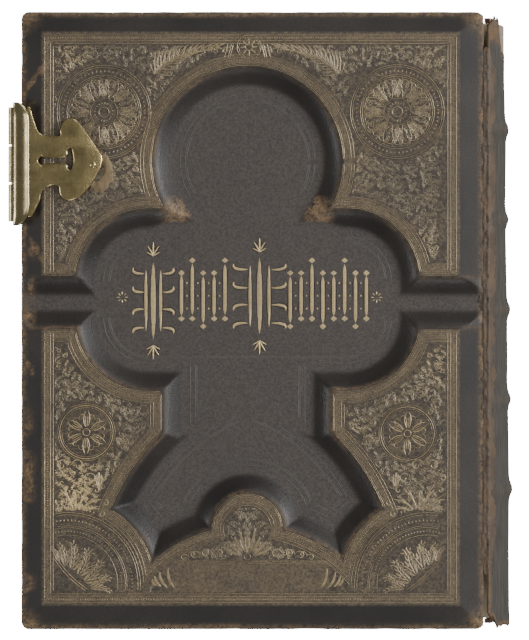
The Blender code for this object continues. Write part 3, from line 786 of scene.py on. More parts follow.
    def round_corners(self, x: Array, y: Array) -> tuple[Array, Array]:
        """Draws the board's square corners in to quarter circles, as a square maps to a disc."""
        r = self.corner_round
        mid_x, mid_y = (self.x[0] + self.x[1]) / 2, (self.y[0] + self.y[1]) / 2
        a = (np.abs(x - mid_x) - (self.x[1] - self.x[0]) / 2 + r) / r
        b = (np.abs(y - mid_y) - (self.y[1] - self.y[0]) / 2 + r) / r
        corner = (a > 0) & (b > 0)
        shrink = np.where(corner, np.maximum(a, b) / np.maximum(np.hypot(a, b), 1e-9), 1.0)
        move = lambda t: np.where(corner, (shrink - 1) * t * r, 0.0)
        return x + np.sign(x - mid_x) * move(a), y + np.sign(y - mid_y) * move(b)

    def onto_outline(self, x: Array, y: Array, level: float) -> tuple[Array, Array]:
        """Moves the grid points nearest to one level of the distance onto it."""
        step = 0.05 * MM
        u, v = self.to_board(x, y)
        value = self.stamping.distance(u, v)
        du = (self.stamping.distance(u + step, v) - value) / step
        dv = (self.stamping.distance(u, v + step) - value) / step
        size = np.maximum(du**2 + dv**2, 1e-6)
        off = value - level
        inner = np.zeros(x.shape, bool)
        inner[1:-1, 1:-1] = True
        near = inner & (np.abs(off) < 0.42 * self.cell) & (size > 0.5) & (size < 4)
        return np.where(near, x - off * du / size, x), np.where(near, y - off * dv / size, y)

    def rings(self, edge: Array, start: int, loop: Array) -> tuple[list[Array], list[Array]]:
        """Carries the outer face's edge round the board and in over its inner face.

        Args:
            edge: (n, 3) the outer face's boundary.
            start: the number of the first new point.
            loop: (n,) the boundary's own numbers.

        Returns:
            The rings of points, and the faces between each and the one before it.
        """
        middle = np.array([(self.x[0] + self.x[1]) / 2, (self.y[0] + self.y[1]) / 2])
        half = np.array([self.x[1] - self.x[0], self.y[1] - self.y[0]]) / 2
        side = (edge[:, :2] - middle) / (half - self.edge_round)
        wobble = 0.25 * MM * ripple(edge[:, 0], edge[:, 1], 7 * MM, 11)
        plan = [
            (0.35, -0.25), (0.0, -0.95), (0.0, None), (0.4, 0.0), (self.turned / MM, 0.0),
            (self.turned / MM + 0.2, -0.35)
        ]
        points, faces, before = [], [], loop
        for number, (inset, fall) in enumerate(plan):
            place = middle + side * (half - inset * MM)
            if number < 2:
                z = edge[:, 2] + self.outwards * fall * MM
            elif fall is None:
                z = np.full(len(edge), self.inner + self.outwards * 0.5 * MM)
            else:
                z = np.full(len(edge), self.inner - self.outwards * fall * MM)
            if number in (1, 2):
                place = (
                    place
                    + side / np.linalg.norm(side, axis=1)[:, None] * np.minimum(wobble, 0.05 * MM)[:,
                    None]
                )
            place = np.stack(self.round_corners(place[:, 0], place[:, 1]), 1)
            ring = np.concatenate([place, z[:, None]], 1)
            now = start + number * len(edge) + np.arange(len(edge))
            faces.append(np.stack([before, now, np.roll(now, -1), np.roll(before, -1)], 1))
            points.append(ring)
            before = now
        return points, faces

    def dress(self, obj: Piece, points: Array, leather: Material) -> None:
        """Stores where the leather is sunk, stamped, gilt and worn, and sets its body."""
        x, y = points[:, 0], points[:, 1]
        u, v = self.to_board(x, y)
        outer = np.abs(points[:, 2] - self.inner) > 0.6 * abs(self.rim - self.inner)
        sunk = self.stamping.sunk(u, v)
        on_panel = (self.stamping.distance(u, v) > 1.0 * MM) & (self.slope_out(x, y) < 0.02)
        # sunk is 1 on the floor only; elsewhere on the outer face the material paints the coves and bevels
        # dark, as shade
        mark(obj, "sunk", np.where(outer, smooth(0.86, 0.99, sunk), 0.0))
        mark(obj, "shine", np.where(outer, smooth(0.0, 0.5, sunk) * (1 - smooth(0.9, 1.0, sunk)), 0.0))
        mark(obj, "panel", np.where(outer & on_panel, 1.0, 0.0))
        mark(obj, "gilt", np.where(outer, self.gilt_bands(x, y), 0.0))
        mark(obj, "wear", self.worn(x, y))
        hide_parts(*[f"{self.side}_{part}" for part in ("cover_leather", "head_panel", "tail_panel")])
        self.carry(obj, leather)

    def carry(self, obj: Piece, finish: Material) -> None:
        """Gives a piece its finish, and lets it move with the board."""
        obj.data.materials.append(finish)
        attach(obj, f"{self.side}_board")


# ---- gilt tooling -------------------------------------------------------------------
@dataclass
class Threads:
    """Gathers fine stamped lines and lays them on a board as raised three-sided threads."""

    cover: BoardCover
    crest: float = 0.13 * MM
    root: float = 0.10 * MM
    swell: float = 1.75
    runs: dict = field(default_factory=dict)

    def add(self, lines: Array, width: float, pointed: bool = True, mirrored: bool = True) -> None:
        """Takes lines to be laid.

        Args:
            lines: (n, 2) or (k, n, 2) places u, v.
            width: a thread's full width at its thickest.
            pointed: whether it thins out towards both ends like a leaf.
            mirrored: whether the same lines also stand across the stamping's axis.
        """
        lines = np.asarray(lines, float)
        lines = lines[None] if lines.ndim == 2 else lines
        if mirrored:
            lines = np.concatenate([lines, lines * (-1, 1)])
        t = np.linspace(0, 1, lines.shape[1])
        shape = np.maximum(np.sin(np.pi * t) ** 0.7, 0.25) if pointed else np.ones(len(t))
        half = np.broadcast_to(width * self.swell / 2 * shape, lines.shape[:2])
        self.runs.setdefault(lines.shape[1], []).append((lines, half))

    def trace(self, line: Array, width: float, step: float = 2.2 * MM, mirrored: bool = False) -> None:
        """Lays one long line, resampled evenly."""
        spans = np.hypot(*np.diff(line, axis=0).T)
        s = np.concatenate([[0], np.cumsum(spans)])
        count = max(4, math.ceil(s[-1] / step) + 1)
        even = np.linspace(0, s[-1], count)
        line = np.stack([np.interp(even, s, line[:, 0]), np.interp(even, s, line[:, 1])], 1)
        self.add(line, width, pointed=False, mirrored=mirrored)

    def beads(self, line: Array, spacing: float, size: float, mirrored: bool = False) -> None:
        """Strings small lozenges along a line."""
        spans = np.hypot(*np.diff(line, axis=0).T)
        s = np.concatenate([[0], np.cumsum(spans)])
        even = np.arange(spacing / 2, s[-1], spacing)
        if not len(even):
            return
        here = np.stack([np.interp(even, s, line[:, 0]), np.interp(even, s, line[:, 1])], 1)
        there = np.stack([np.interp(even + MM, s, line[:, 0]), np.interp(even + MM, s, line[:, 1])], 1)
        ahead = there - here
        ahead /= np.maximum(np.hypot(*ahead.T)[:, None], 1e-6)
        lines = np.stack([here - ahead * size / 2, here, here + ahead * size / 2], 1)
        self.add(lines, size, mirrored=mirrored)

    def build(self, name: str, finish: Material) -> Piece:
        """Makes one mesh of all the threads.

        A thread's middle stations are triangles: two feet below the leather and a crest above
        it. Its ends are single points below the leather.

        Args:
            name: the piece's name.
            finish: its material.

        Returns:
            The piece.
        """
        points, corners, sides, start = [], [], [], 0
        for count, batches in self.runs.items():
            lines = np.concatenate([batch[0] for batch in batches])
            half = np.concatenate([batch[1] for batch in batches])[..., None]
            ahead = np.gradient(lines, axis=1)
            ahead /= np.maximum(np.linalg.norm(ahead, axis=-1, keepdims=True), 1e-9)
            side = np.stack([-ahead[..., 1], ahead[..., 0]], -1) * half
            rings = np.stack([lines + side, lines, lines - side], 2)[:, 1:-1]
            flat = np.concatenate([rings.reshape(len(lines), -1, 2), lines[:, [0, -1]]], 1)
            size = flat.shape[1]
            lift = np.concatenate(
                [np.tile([-self.root, self.crest, -self.root], count - 2), [-self.root] * 2]
            )
            x, y = flat[..., 0] + self.cover.axis, flat[..., 1]
            z = self.cover.z_at(x, y) + self.cover.outwards * lift
            points.append(np.stack([x, y, z], -1).reshape(-1, 3))
            corner = np.arange(3)
            after = (corner + 1) % 3
            ring = 3 * np.arange(count - 3)[:, None]
            quad = np.stack([ring + corner, ring + after, ring + 3 + after, ring + 3 + corner], -1)
            end = 3 * (count - 3)
            first = np.stack([np.full(3, size - 2), after, corner], -1)
            last = np.stack([np.full(3, size - 1), end + corner, end + after], -1)
            offset = start + size * np.arange(len(lines))[:, None, None]
            sides.append((quad.reshape(-1, 4)[None] + offset).reshape(-1, 4))
            corners.append((np.concatenate([first, last])[None] + offset).reshape(-1, 3))
            start += size * len(lines)
        points, corners, sides = np.concatenate(points), np.concatenate(corners), np.concatenate(sides)
        tip, b, c = (points[corners[:, i]] for i in range(3))
        if np.einsum("ij,ij->i", tip - tip.mean(0), np.cross(b - tip.mean(0), c - tip.mean(0))).sum() < 0:
            corners, sides = corners[:, ::-1], sides[:, ::-1]
        obj = make_mesh(name, points, sides, corners)
        fix_outwards(obj)
        obj.data.set_sharp_from_angle(angle=math.radians(30))
        mark(obj, "kept", self.cover.kept(points[:, 0], points[:, 1]))
        self.cover.carry(obj, finish)
        return obj


@dataclass
class GiltTooling:
    """The pattern stamped round the sunk field: borders, roundels, fans, leaves and a plaque."""

    cover: BoardCover
    roundels: tuple = ((-73.7 * MM, 107.1 * MM), (77.0 * MM, 107.3 * MM))
    flowers: tuple = ((-82.7 * MM, -57.3 * MM), (82.2 * MM, -58.0 * MM))
    medal: tuple = (0.8 * MM, 140.5 * MM)
    roundel_r: float = 24.1 * MM
    flower_r: float = 13.7 * MM
    medal_r: float = 6.2 * MM
    plaque: tuple = (-38.8 * MM, 42.4 * MM, -138.9 * MM, -123.5 * MM)
    rim_lines: tuple = (1.0 * MM, 1.7 * MM, 5.1 * MM, 6.7 * MM)
    border_lines: tuple = (1.5 * MM, 4.4 * MM, 5.9 * MM)
    fan_rings: tuple = (37.2 * MM, 36.0 * MM, 30.4 * MM, 29.5 * MM, 25.7 * MM)
    border_wide: float = 6.0 * MM
    palmette_root: tuple = (0.0, -121.3 * MM)
    palmette_reach: tuple = (12.0, 10.5, 10.0, 11.0, 13.0, 11.0, 10.0, 10.5, 12.0)
    seed: int = 4

    def __post_init__(self) -> None:
        """Starts with no threads."""
        self.threads = Threads(self.cover)
        self.ground = Threads(self.cover, crest=0.09 * MM, root=0.07 * MM)
        # painted shade: near-black threads, a little wider than the gilt lines, stand for the shade in
        # their tooled grooves
        self.groove = Threads(self.cover, crest=0.06 * MM, root=0.06 * MM)
        self.stamping = self.cover.stamping
        self.random = np.random.default_rng(self.seed)

    def border(self, u: Array, v: Array) -> Array:
        """Distance inwards from the panels' straight edges."""
        left, right, low, high = self.cover.bevels
        x = u + self.cover.axis
        cover = self.cover
        parts = [x - cover.x[0] - left, cover.x[1] - right - x, v - cover.y[0] - low, cover.y[1] - high - v]
        return np.minimum.reduce(parts)

    def room(self, u: Array, v: Array) -> Array:
        """Distance to the nearest band, ring, fan or plaque: positive where leaves may stand."""
        parts = [self.stamping.distance(u, v) - 7.6 * MM, self.border(u, v) - 6.6 * MM]
        parts += [np.hypot(u - a, v - b) - self.roundel_r - 0.8 * MM for a, b in self.roundels]
        parts += [np.hypot(u - a, v - b) - self.flower_r - 1.2 * MM for a, b in self.flowers]
        parts += [np.hypot(u - self.medal[0], v - self.medal[1]) - self.medal_r - 0.8 * MM]
        fan_u, fan_v, _ = self.stamping.fan
        parts += [np.hypot(np.abs(u) - fan_u, v - fan_v) - self.fan_rings[0] - 0.6 * MM]
        left, right, _, high = self.plaque
        parts += [np.maximum.reduce([left - 8 * MM - u, u - right - 8 * MM, v - high - 0.8 * MM])]
        return np.minimum.reduce(parts)

    def keep(self, lines: Array, width: float, mirrored: bool = False) -> None:
        """Adds the lines that lie wholly in the open."""
        open_ones = (self.room(lines[..., 0], lines[..., 1]) > 0).all(axis=1)
        if open_ones.any():
            self.ground.add(lines[open_ones], width, mirrored=mirrored)

    def lay_inside(self, lines: Array, width: float) -> None:
        """Adds the lines and their mirror images, without those that cross the straight border."""
        for way in (1, -1):
            turned = lines * (way, 1)
            inside = (self.border(turned[..., 0], turned[..., 1]) > self.border_wide).all(axis=1)
            if inside.any():
                self.threads.add(turned[inside], width, mirrored=False)

    def ring(self, centre: tuple, radius: float, width: float, ends: tuple = (0.0, 360.0)) -> Array:
        """Lays an arc, in degrees, and returns it."""
        lap = math.degrees(2.4 * MM / radius) if ends[1] - ends[0] >= 360 else 0.0
        turn = np.radians(np.linspace(ends[0], ends[1] + lap, 181))
        line = np.stack([centre[0] + radius * np.cos(turn), centre[1] + radius * np.sin(turn)], 1)
        self.lay(line, width, step=min(2.2 * MM, radius * 0.4))
        return line

    def lay(self, line: Array, width: float, step: float = 2.2 * MM, mirrored: bool = False) -> None:
        """A gilt line with a dark thread of painted shade on each side of it, along its tooled groove."""
        self.threads.trace(line, width, step, mirrored)
        self.groove.trace(line, width + 0.42 * MM, step, mirrored)

    def leaves(self, base: Array, angle: Array, reach: Array, curl: Array, stations: int = 5) -> Array:
        """Curved strokes: each starts at its base, heads along its angle and turns by its curl.

        Args:
            base: (k, 2) places.
            angle, reach, curl: (k,) heading in radians, length and total turn.
            stations: points along each.

        Returns:
            (k, stations, 2) lines.
        """
        t = np.linspace(0, 1, stations)
        heading = angle[:, None] + curl[:, None] * t
        step = np.stack([np.cos(heading), np.sin(heading)], -1) * (reach / (stations - 1))[:, None, None]
        path = np.cumsum(step, axis=1) - step
        return base[:, None, :] + path

    def fern(
        self, base: Array, angle: Array, reach: Array, curl: Array, pairs: int = 5, spread: float = 0.75
    ) -> tuple:
        """Leafy stems, all at once: a curved stem and pairs of leaflets that shorten to its tip.

        Args:
            base: (k, 2) places.
            angle, reach, curl: (k,) the stems' heading, length and total turn.
            pairs: leaflets on each side of a stem.
            spread: a leaflet's angle from its stem, in radians.

        Returns:
            The stems and the leaflets, as arrays of lines.
        """
        stems = self.leaves(base, angle, reach, curl, 6)
        at = np.linspace(0.08, 0.92, pairs)
        place = base[:, None] + 0
        t = at * 5
        low = np.clip(np.floor(t).astype(int), 0, 4)
        part = (t - low)[None, :, None]
        place = stems[:, low] * (1 - part) + stems[:, low + 1] * part
        heading = angle[:, None] + curl[:, None] * at
        size = reach[:, None] * 0.42 * (1.05 - 0.65 * at)
        sides = []
        for side in (-1, 1):
            turn = (heading + side * spread).ravel()
            sides.append(
                self.leaves(place.reshape(-1, 2), turn, size.ravel(), np.full(turn.shape, -side * 0.9))
            )
        return stems, np.concatenate(sides)

    def scrolls(self, base: Array, angle: Array, size: Array, turn: Array) -> Array:
        """Spirals that start at base and wind in; turn is +1 or -1."""
        t = np.linspace(0, 1, 11)
        heading = angle[:, None] + turn[:, None] * 7.6 * t**1.15
        pace = (1 - 0.78 * t)[:-1] * 0.62
        step = np.stack([np.cos(heading), np.sin(heading)], -1)[:, :-1] * (size[:, None] * pace)[..., None]
        path = np.concatenate([np.zeros((len(base), 1, 2)), np.cumsum(step, axis=1)], axis=1)
        return base[:, None] + path

    def edge_strips(self) -> None:
        """Lines and beads along the panels' straight edges and along the sunk field's rim."""
        cover = self.cover
        left, right, low, high = cover.bevels
        for inset in self.border_lines:
            x0, x1 = cover.x[0] + left + inset - cover.axis, cover.x[1] - right - inset - cover.axis
            y0, y1 = cover.y[0] + low + inset, cover.y[1] - high - inset
            for line in (
                ((x0, y0), (x1, y0)), ((x1, y0), (x1, y1)), ((x1, y1), (x0, y1)), ((x0, y1), (x0, y0))
            ):
                self.clipped(np.linspace(line[0], line[1], 500), 1.0 * MM, 0.34 * MM)
        inset = 2.95 * MM
        x0, x1 = cover.x[0] + left + inset - cover.axis, cover.x[1] - right - inset - cover.axis
        y0, y1 = cover.y[0] + low + inset, cover.y[1] - high - inset
        for line in (
            ((x0, y0), (x1, y0)), ((x1, y0), (x1, y1)), ((x1, y1), (x0, y1)), ((x0, y1), (x0, y0))
        ):
            self.clipped(np.linspace(line[0], line[1], 500), 1.4 * MM, 0.7 * MM, bead=1.25 * MM)
        for away in self.rim_lines:
            for line in self.stamping.outlines(away):
                self.clipped(line, away - 0.1 * MM, 0.32 * MM, on_border=1.4 * MM)
        for away in (2.6 * MM, 4.1 * MM):
            for line in self.stamping.outlines(away):
                self.clipped(line, away - 0.1 * MM, 0.55 * MM, bead=1.3 * MM, on_border=1.6 * MM)

    def clipped(
        self, line: Array, from_rim: float, width: float, bead: float = 0.0, on_border: float = 0.0
    ) -> None:
        """Lays the stretches of a line that clear the sunk field's rim and the panels' edges."""
        clear = self.stamping.distance(line[:, 0], line[:, 1]) > from_rim - 0.02 * MM
        clear &= self.border(line[:, 0], line[:, 1]) > on_border
        breaks = np.flatnonzero(np.diff(clear.astype(int))) + 1
        for run, kept in zip(np.split(line, breaks), np.split(clear, breaks)):
            if not kept[0] or len(run) < 8:
                continue
            if bead:
                self.threads.beads(run, bead, width)
            else:
                self.lay(run, width)

    def head_roundels(self) -> None:
        """Two rings with beads between them, round two interlaced eight-lobed roses and small ferns.

        A rose's radius is a mean plus a cosine of eight times the angle.
        """
        for centre in self.roundels:
            for radius, width in (
                (24.1, 0.34), (23.1, 0.3), (19.0, 0.34), (18.1, 0.3), (2.6, 0.4), (7.0, 0.28)
            ):
                line = self.ring(centre, radius * MM, width * MM)
            turn = np.linspace(0, 2 * np.pi, 400)
            for radius, spacing, size in ((21.0, 2.1, 1.1), (4.6, 1.5, 0.9)):
                line = np.stack([np.cos(turn), np.sin(turn)], 1) * radius * MM + centre
                self.threads.beads(line, spacing * MM, size * MM)
            eight = np.arange(8) * np.pi / 4
            start = np.stack([np.cos(eight), np.sin(eight)], 1) * 6.2 * MM + centre
            for curl in (0.35, -0.35):
                stems, fronds = self.fern(start, eight, np.full(8, 10.0 * MM), np.full(8, curl), 6, 0.6)
                self.threads.add(stems, 0.34 * MM, mirrored=False)
                self.ground.add(fronds, 0.36 * MM, mirrored=False)
            for phase in (0.0, np.pi):
                wave = (12.2 + 4.9 * np.cos(8 * turn + phase)) * MM
                rose = np.stack([np.cos(turn), np.sin(turn)], 1) * wave[:, None] + centre
                self.lay(rose, 0.34 * MM, 0.9 * MM)
            between = eight + np.pi / 8
            start = np.stack([np.cos(between), np.sin(between)], 1) * 13.5 * MM + centre
            for turn_way in (-1, 1):
                curls = self.scrolls(start, between, np.full(8, 2.6 * MM), np.full(8, turn_way))
                self.threads.add(curls, 0.34 * MM, mirrored=False)

    def tail_flowers(self) -> None:
        """A ring round a six-petalled flower, with leaves between the petals."""
        for centre in self.flowers:
            self.ring(centre, self.flower_r, 0.55 * MM)
            self.ring(centre, self.flower_r - 1.0 * MM, 0.28 * MM)
            self.ring(centre, self.flower_r + 1.0 * MM, 0.28 * MM)
            self.ring(centre, 1.8 * MM, 0.5 * MM)
            six = np.arange(6) * np.pi / 3 + 0.5
            for side in (-1, 1):
                start = np.stack([np.cos(six), np.sin(six)], 1) * 2.0 * MM + centre
                petals = self.leaves(
                    start, six + side * 0.55, np.full(6, 10.4 * MM), np.full(6, -side * 1.25), 8
                )
                self.threads.add(petals, 0.5 * MM, mirrored=False)
                veins = self.leaves(start, six + side * 0.2, np.full(6, 7.5 * MM), np.full(6, -side * 0.4))
                self.threads.add(veins, 0.34 * MM, mirrored=False)
            between = six + np.pi / 6
            start = np.stack([np.cos(between), np.sin(between)], 1) * 6.4 * MM + centre
            for way in (-1, 1):
                self.threads.add(
                    self.scrolls(start, between, np.full(6, 2.2 * MM), np.full(6, way)), 0.32 * MM,
                    mirrored=False
                )

    def corner_fans(self) -> None:
        """Concentric arcs and beads round each lower corner, with a leaf-filled lens inside."""
        fan_u, fan_v, _ = self.stamping.fan
        turn = np.radians(np.linspace(-60, 240, 800))
        edge = 6.4 * MM
        for radius in self.fan_rings:
            line = np.stack([-fan_u + radius * np.cos(turn), fan_v + radius * np.sin(turn)], 1)
            for run in self.inside_border(line, edge):
                self.lay(run, 0.34 * MM, mirrored=True)
        for radius, spacing, size in ((33.2, 1.9, 1.15), (27.6, 1.6, 0.95), (31.4, 1.3, 0.5)):
            line = np.stack([-fan_u + radius * MM * np.cos(turn), fan_v + radius * MM * np.sin(turn)], 1)
            for run in self.inside_border(line, edge):
                self.threads.beads(run, spacing * MM, size * MM, mirrored=True)
        chord = np.linspace((-99.4, -119.9), (-80.9, -138.9), 40) * MM
        sag = 1.6 * MM * np.sin(np.linspace(0, np.pi, 40))[:, None] * (-0.7, -0.7)
        for shift in (0.0, 0.9 * MM):
            self.threads.trace(chord + sag - shift, 0.34 * MM, mirrored=True)
        base = (
            np.array([[-97.0, -124.5], [-94.0, -127.0], [-91.0, -129.5], [-88.0, -132.0],
            [-85.0, -135.0], [-82.0, -137.3]]) * MM
        )
        angle = np.radians([95, 82, 65, 48, 30, 12])
        reach = np.array([9, 13, 16, 16, 15, 12]) * MM
        for curl in (-0.9, 0.9):
            stems, fronds = self.fern(base, angle, reach, np.full(6, curl), 6, 0.7)
            for lines, width in ((stems, 0.5), (fronds, 0.62)):
                clear = (
                    np.hypot(lines[..., 0] + fan_u,
                    lines[..., 1] - fan_v).max(axis=1) < self.fan_rings[-1] - 0.6 * MM
                )
                self.threads.add(lines[clear], width * MM)

    def inside_border(self, line: Array, inset: float) -> list[Array]:
        """The stretches of a line that stay inside the border strip."""
        clear = (self.border(line[:, 0], line[:, 1]) > inset) & (self.stamping.distance(*line.T) > 7.4 * MM)
        breaks = np.flatnonzero(np.diff(clear.astype(int))) + 1
        return [r for r, k in zip(np.split(line, breaks), np.split(clear, breaks)) if k[0] and len(r) > 8]

    def anthemion(self) -> None:
        """The palmette below each tail flower: volutes, a fleuron, curved leaves and a pearl row."""
        left = np.array([[-91.2, -75.0], [-91.2, -75.0], [-84.0, -80.0], [-97.5, -80.0]]) * MM
        angle = np.radians([115, 65, 40, 140])
        size = np.array([3.9, 3.9, 3.4, 2.6]) * MM
        self.lay_inside(self.scrolls(left, angle, size, np.array([1, -1, -1, 1])), 0.6 * MM)
        base = (
            np.array([[-88.3, -98.0]]) * MM
            + np.array([[u, 0.0] for u in (-4.5, -2.5, -1.0, 0.0, 1.0, 2.5, 4.5)]) * MM
        )
        angle = np.radians([150, 128, 106, 90, 74, 52, 30])
        reach = np.array([9, 14, 15, 11, 15, 14, 9]) * MM
        for curl, width in ((1.0, 1.0), (0.5, 0.5)):
            bend = np.array([curl, curl, 0.7 * curl, 0.0, -0.7 * curl, -curl, -curl])
            self.lay_inside(self.leaves(base, angle, reach, bend, 8), width * MM)
        ends = self.leaves(base, angle, reach, np.array([1.0, 1.0, 0.7, 0.0, -0.7, -1.0, -1.0]), 8)[:, -1]
        self.lay_inside(
            self.scrolls(ends[:3], angle[:3] + 1.0, np.full(3, 2.0 * MM), np.ones(3)), 0.55 * MM
        )
        self.lay_inside(
            self.scrolls(ends[4:], angle[4:] - 1.0, np.full(3, 2.0 * MM), -np.ones(3)), 0.55 * MM
        )
        bud = np.array([[-76.3, -86.0]] * 4) * MM
        angle = np.radians([60, 120, 80, 100])
        self.lay_inside(
            self.leaves(bud, angle, np.array([8, 8, 9, 9]) * MM, np.array([0.9, -0.9, 0.4, -0.4]), 7),
            0.6 * MM
        )
        fan_u, fan_v, _ = self.stamping.fan
        turn = np.radians(np.linspace(60, 118, 200))
        line = np.stack([-fan_u + 39.6 * MM * np.cos(turn), fan_v + 39.6 * MM * np.sin(turn)], 1)
        for run in self.inside_border(line, 6.4 * MM):
            self.threads.beads(run, 1.9 * MM, 1.5 * MM, mirrored=True)

    def head_middle(self) -> None:
        """The small medallion over the lobe, with brackets beside it, and the two big fern sprays."""
        for radius, width in ((6.2, 0.4), (5.3, 0.3), (2.0, 0.35)):
            self.ring(self.medal, radius * MM, width * MM)
        eight = np.arange(8) * np.pi / 4
        start = np.tile([self.medal], (8, 1)) + np.stack([np.cos(eight), np.sin(eight)], 1) * 0.6 * MM
        self.threads.add(
            self.leaves(start, eight, np.full(8, 4.4 * MM), np.full(8, 0.2)), 0.8 * MM, mirrored=False
        )
        for u in (7.6, 8.6, 10.4):
            line = np.linspace((-u + 0.6, 143.2), (-u - 1.6, 134.2), 20) * MM
            self.threads.trace(line, 0.4 * MM, mirrored=True)
        stem = (
            np.array([[-47.0, 125.6], [-43.5, 130.0], [-37.0, 134.2], [-29.0, 137.2],
            [-17.0, 140.0]]) * MM
        )
        s = np.linspace(0, 4, 40)
        path = np.stack([np.interp(s, range(5), stem[:, i]) for i in range(2)], 1)
        self.threads.trace(path, 0.45 * MM, mirrored=True)
        base = path[::3]
        angle = np.linspace(1.75, 0.55, len(base))
        reach = np.linspace(13.5, 6.5, len(base)) * MM
        for shift, size in ((0.0, 1.0), (-0.45, 0.7), (0.4, 0.62)):
            self.threads.add(
                self.leaves(base, angle + shift, reach * size, np.full(len(base), -0.45), 7), 0.58 * MM
            )
        under = self.leaves(
            base[1:], np.linspace(-0.35, 0.2, len(base) - 1), reach[1:] * 0.6,
            np.full(len(base) - 1, 0.6), 6
        )
        self.threads.add(under, 0.6 * MM)

    def tympanum(self) -> None:
        """The half-round at the foot: a palmette over the plaque, scrolls beside it, and thick leaves."""
        left, right, _, high = self.plaque
        for v in (high, high - 1.0 * MM):
            self.lay(np.linspace((left, v), (right, v), 60), 0.36 * MM)
        angle = np.radians(np.linspace(14, 166, 9))
        root, petals = self.palmette_root, np.array(self.palmette_reach) * MM
        for turn_by, start, reach, width in ((0.0, 3.0, 1.0, 1.5), (0.17, 2.2, 0.82, 0.45)):
            spread = angle + turn_by * np.sign(np.pi / 2 - angle)
            base = np.array([root]) + start * MM * np.stack([np.cos(spread), np.sin(spread)], 1)
            lines = self.leaves(base, spread, reach * petals, np.linspace(0.5, -0.5, 9), 7)
            self.threads.add(lines, width * MM, mirrored=False)
        self.ring(root, 1.6 * MM, 0.4 * MM)
        base = np.array([[-18.0, -122.0], [-24.0, -122.0], [-30.0, -122.3]]) * MM
        for way in (-1, 1):
            curls = self.scrolls(
                base, np.radians([90.0, 100.0, 110.0]), np.array([3.6, 3.2, 2.4]) * MM, np.full(3, way)
            )
            self.threads.add(curls, 0.45 * MM)
        base = np.array([[-46.5, -136.9], [-43.8, -137.6], [-40.6, -138.2], [-36.9, -138.4]]) * MM
        base += np.array([[0.0, 0.6]]) * MM
        angle = np.radians([150, 148, 142, 134])
        reach = np.array([5, 8, 11, 13]) * MM
        self.threads.add(self.leaves(base, angle, reach, np.full(4, -1.1), 8), 1.4 * MM)

    def fill(self) -> None:
        """Covers the open ground with leafy stems, scrolls and specks on a shaken lattice."""
        step = 3.3 * MM
        u, v = np.meshgrid(np.arange(-108 * MM, 1 * MM, step), np.arange(-150 * MM, 150 * MM, step))
        u, v = u.ravel(), v.ravel()
        count = len(u)
        u = u + self.random.uniform(-0.35, 0.35, count) * step
        v = v + self.random.uniform(-0.35, 0.35, count) * step
        inside = self.room(u, v) > 0
        u, v = u[inside], v[inside]
        count = len(u)
        base = np.stack([u, v], 1)
        angle = (
            2.2 * ripple(u, v, 24 * MM, 21) + self.random.uniform(-0.6, 0.6, count)
            + np.where(v > 0, 0.9, 2.2)
        )
        reach = self.random.uniform(3.2, 6.0, count) * MM
        curl = self.random.choice([-1.4, 1.4], count)
        stems, fronds = self.fern(base, angle, reach, curl, 4, 0.8)
        for lines, width in ((stems, 0.36), (fronds, 0.44)):
            mirrored = lines * (-1, 1)
            self.keep(lines, width * MM)
            self.keep(mirrored, width * MM)
        curls = self.scrolls(base + 1.5 * MM, angle + 1.0, reach * 0.36, np.sign(curl))
        self.keep(curls[::2], 0.36 * MM)
        self.keep(curls[::2] * (-1, 1), 0.36 * MM)
        self.roundel_ground()

    def roundel_ground(self) -> None:
        """Leafy stems between the rosette's spokes, inside each head roundel."""
        for centre in self.roundels:
            turn = np.tile(np.arange(24) * np.pi / 12 + 0.13, 2)
            r = np.repeat([8.2, 12.6], 24) * MM
            start = np.stack([np.cos(turn), np.sin(turn)], 1) * r[:, None] + centre
            stems, fronds = self.fern(start, turn + 0.4, np.full(48, 5.0 * MM), np.full(48, -1.2), 4, 0.8)
            self.ground.add(stems, 0.36 * MM, mirrored=False)
            self.ground.add(fronds, 0.42 * MM, mirrored=False)

    def build(self, finish: Material, dull: Material, dark: Material) -> list:
        """Lays the whole pattern on the board: bright lines, a duller ground of leaves, and dark threads of
        painted shade beside the lines.
        """
        self.edge_strips()
        self.head_roundels()
        self.tail_flowers()
        self.corner_fans()
        self.anthemion()
        self.head_middle()
        self.tympanum()
        self.fill()
        side = self.cover.side
        pieces = [
            self.threads.build(f"{side}_gilt_pattern", finish),
            self.ground.build(f"{side}_gilt_leaves", dull)
        ]
        return [*pieces, self.groove.build(f"{side}_groove_shade", dark)]


@dataclass
class BlindTooling:
    """Two plain lines pressed into the sunk field's floor, beside its cove."""

    cover: BoardCover
    insets: tuple = (1.0 * MM, 3.6 * MM, 4.4 * MM)

    def build(self, finish: Material) -> Piece:
        """Lays the lines that clear the cove of every other part."""
        threads = Threads(self.cover, crest=0.12 * MM)
        stamping = self.cover.stamping
        for inset in self.insets:
            away = -stamping.cove - inset
            for line in stamping.outlines(away):
                inside = self.cover.slope_out(line[:, 0] + self.cover.axis, line[:, 1]) < 0.01
                if inside.all() and len(line) > 8:
                    threads.trace(line, 0.46 * MM)
        return threads.build(f"{self.cover.side}_blind_lines", finish)


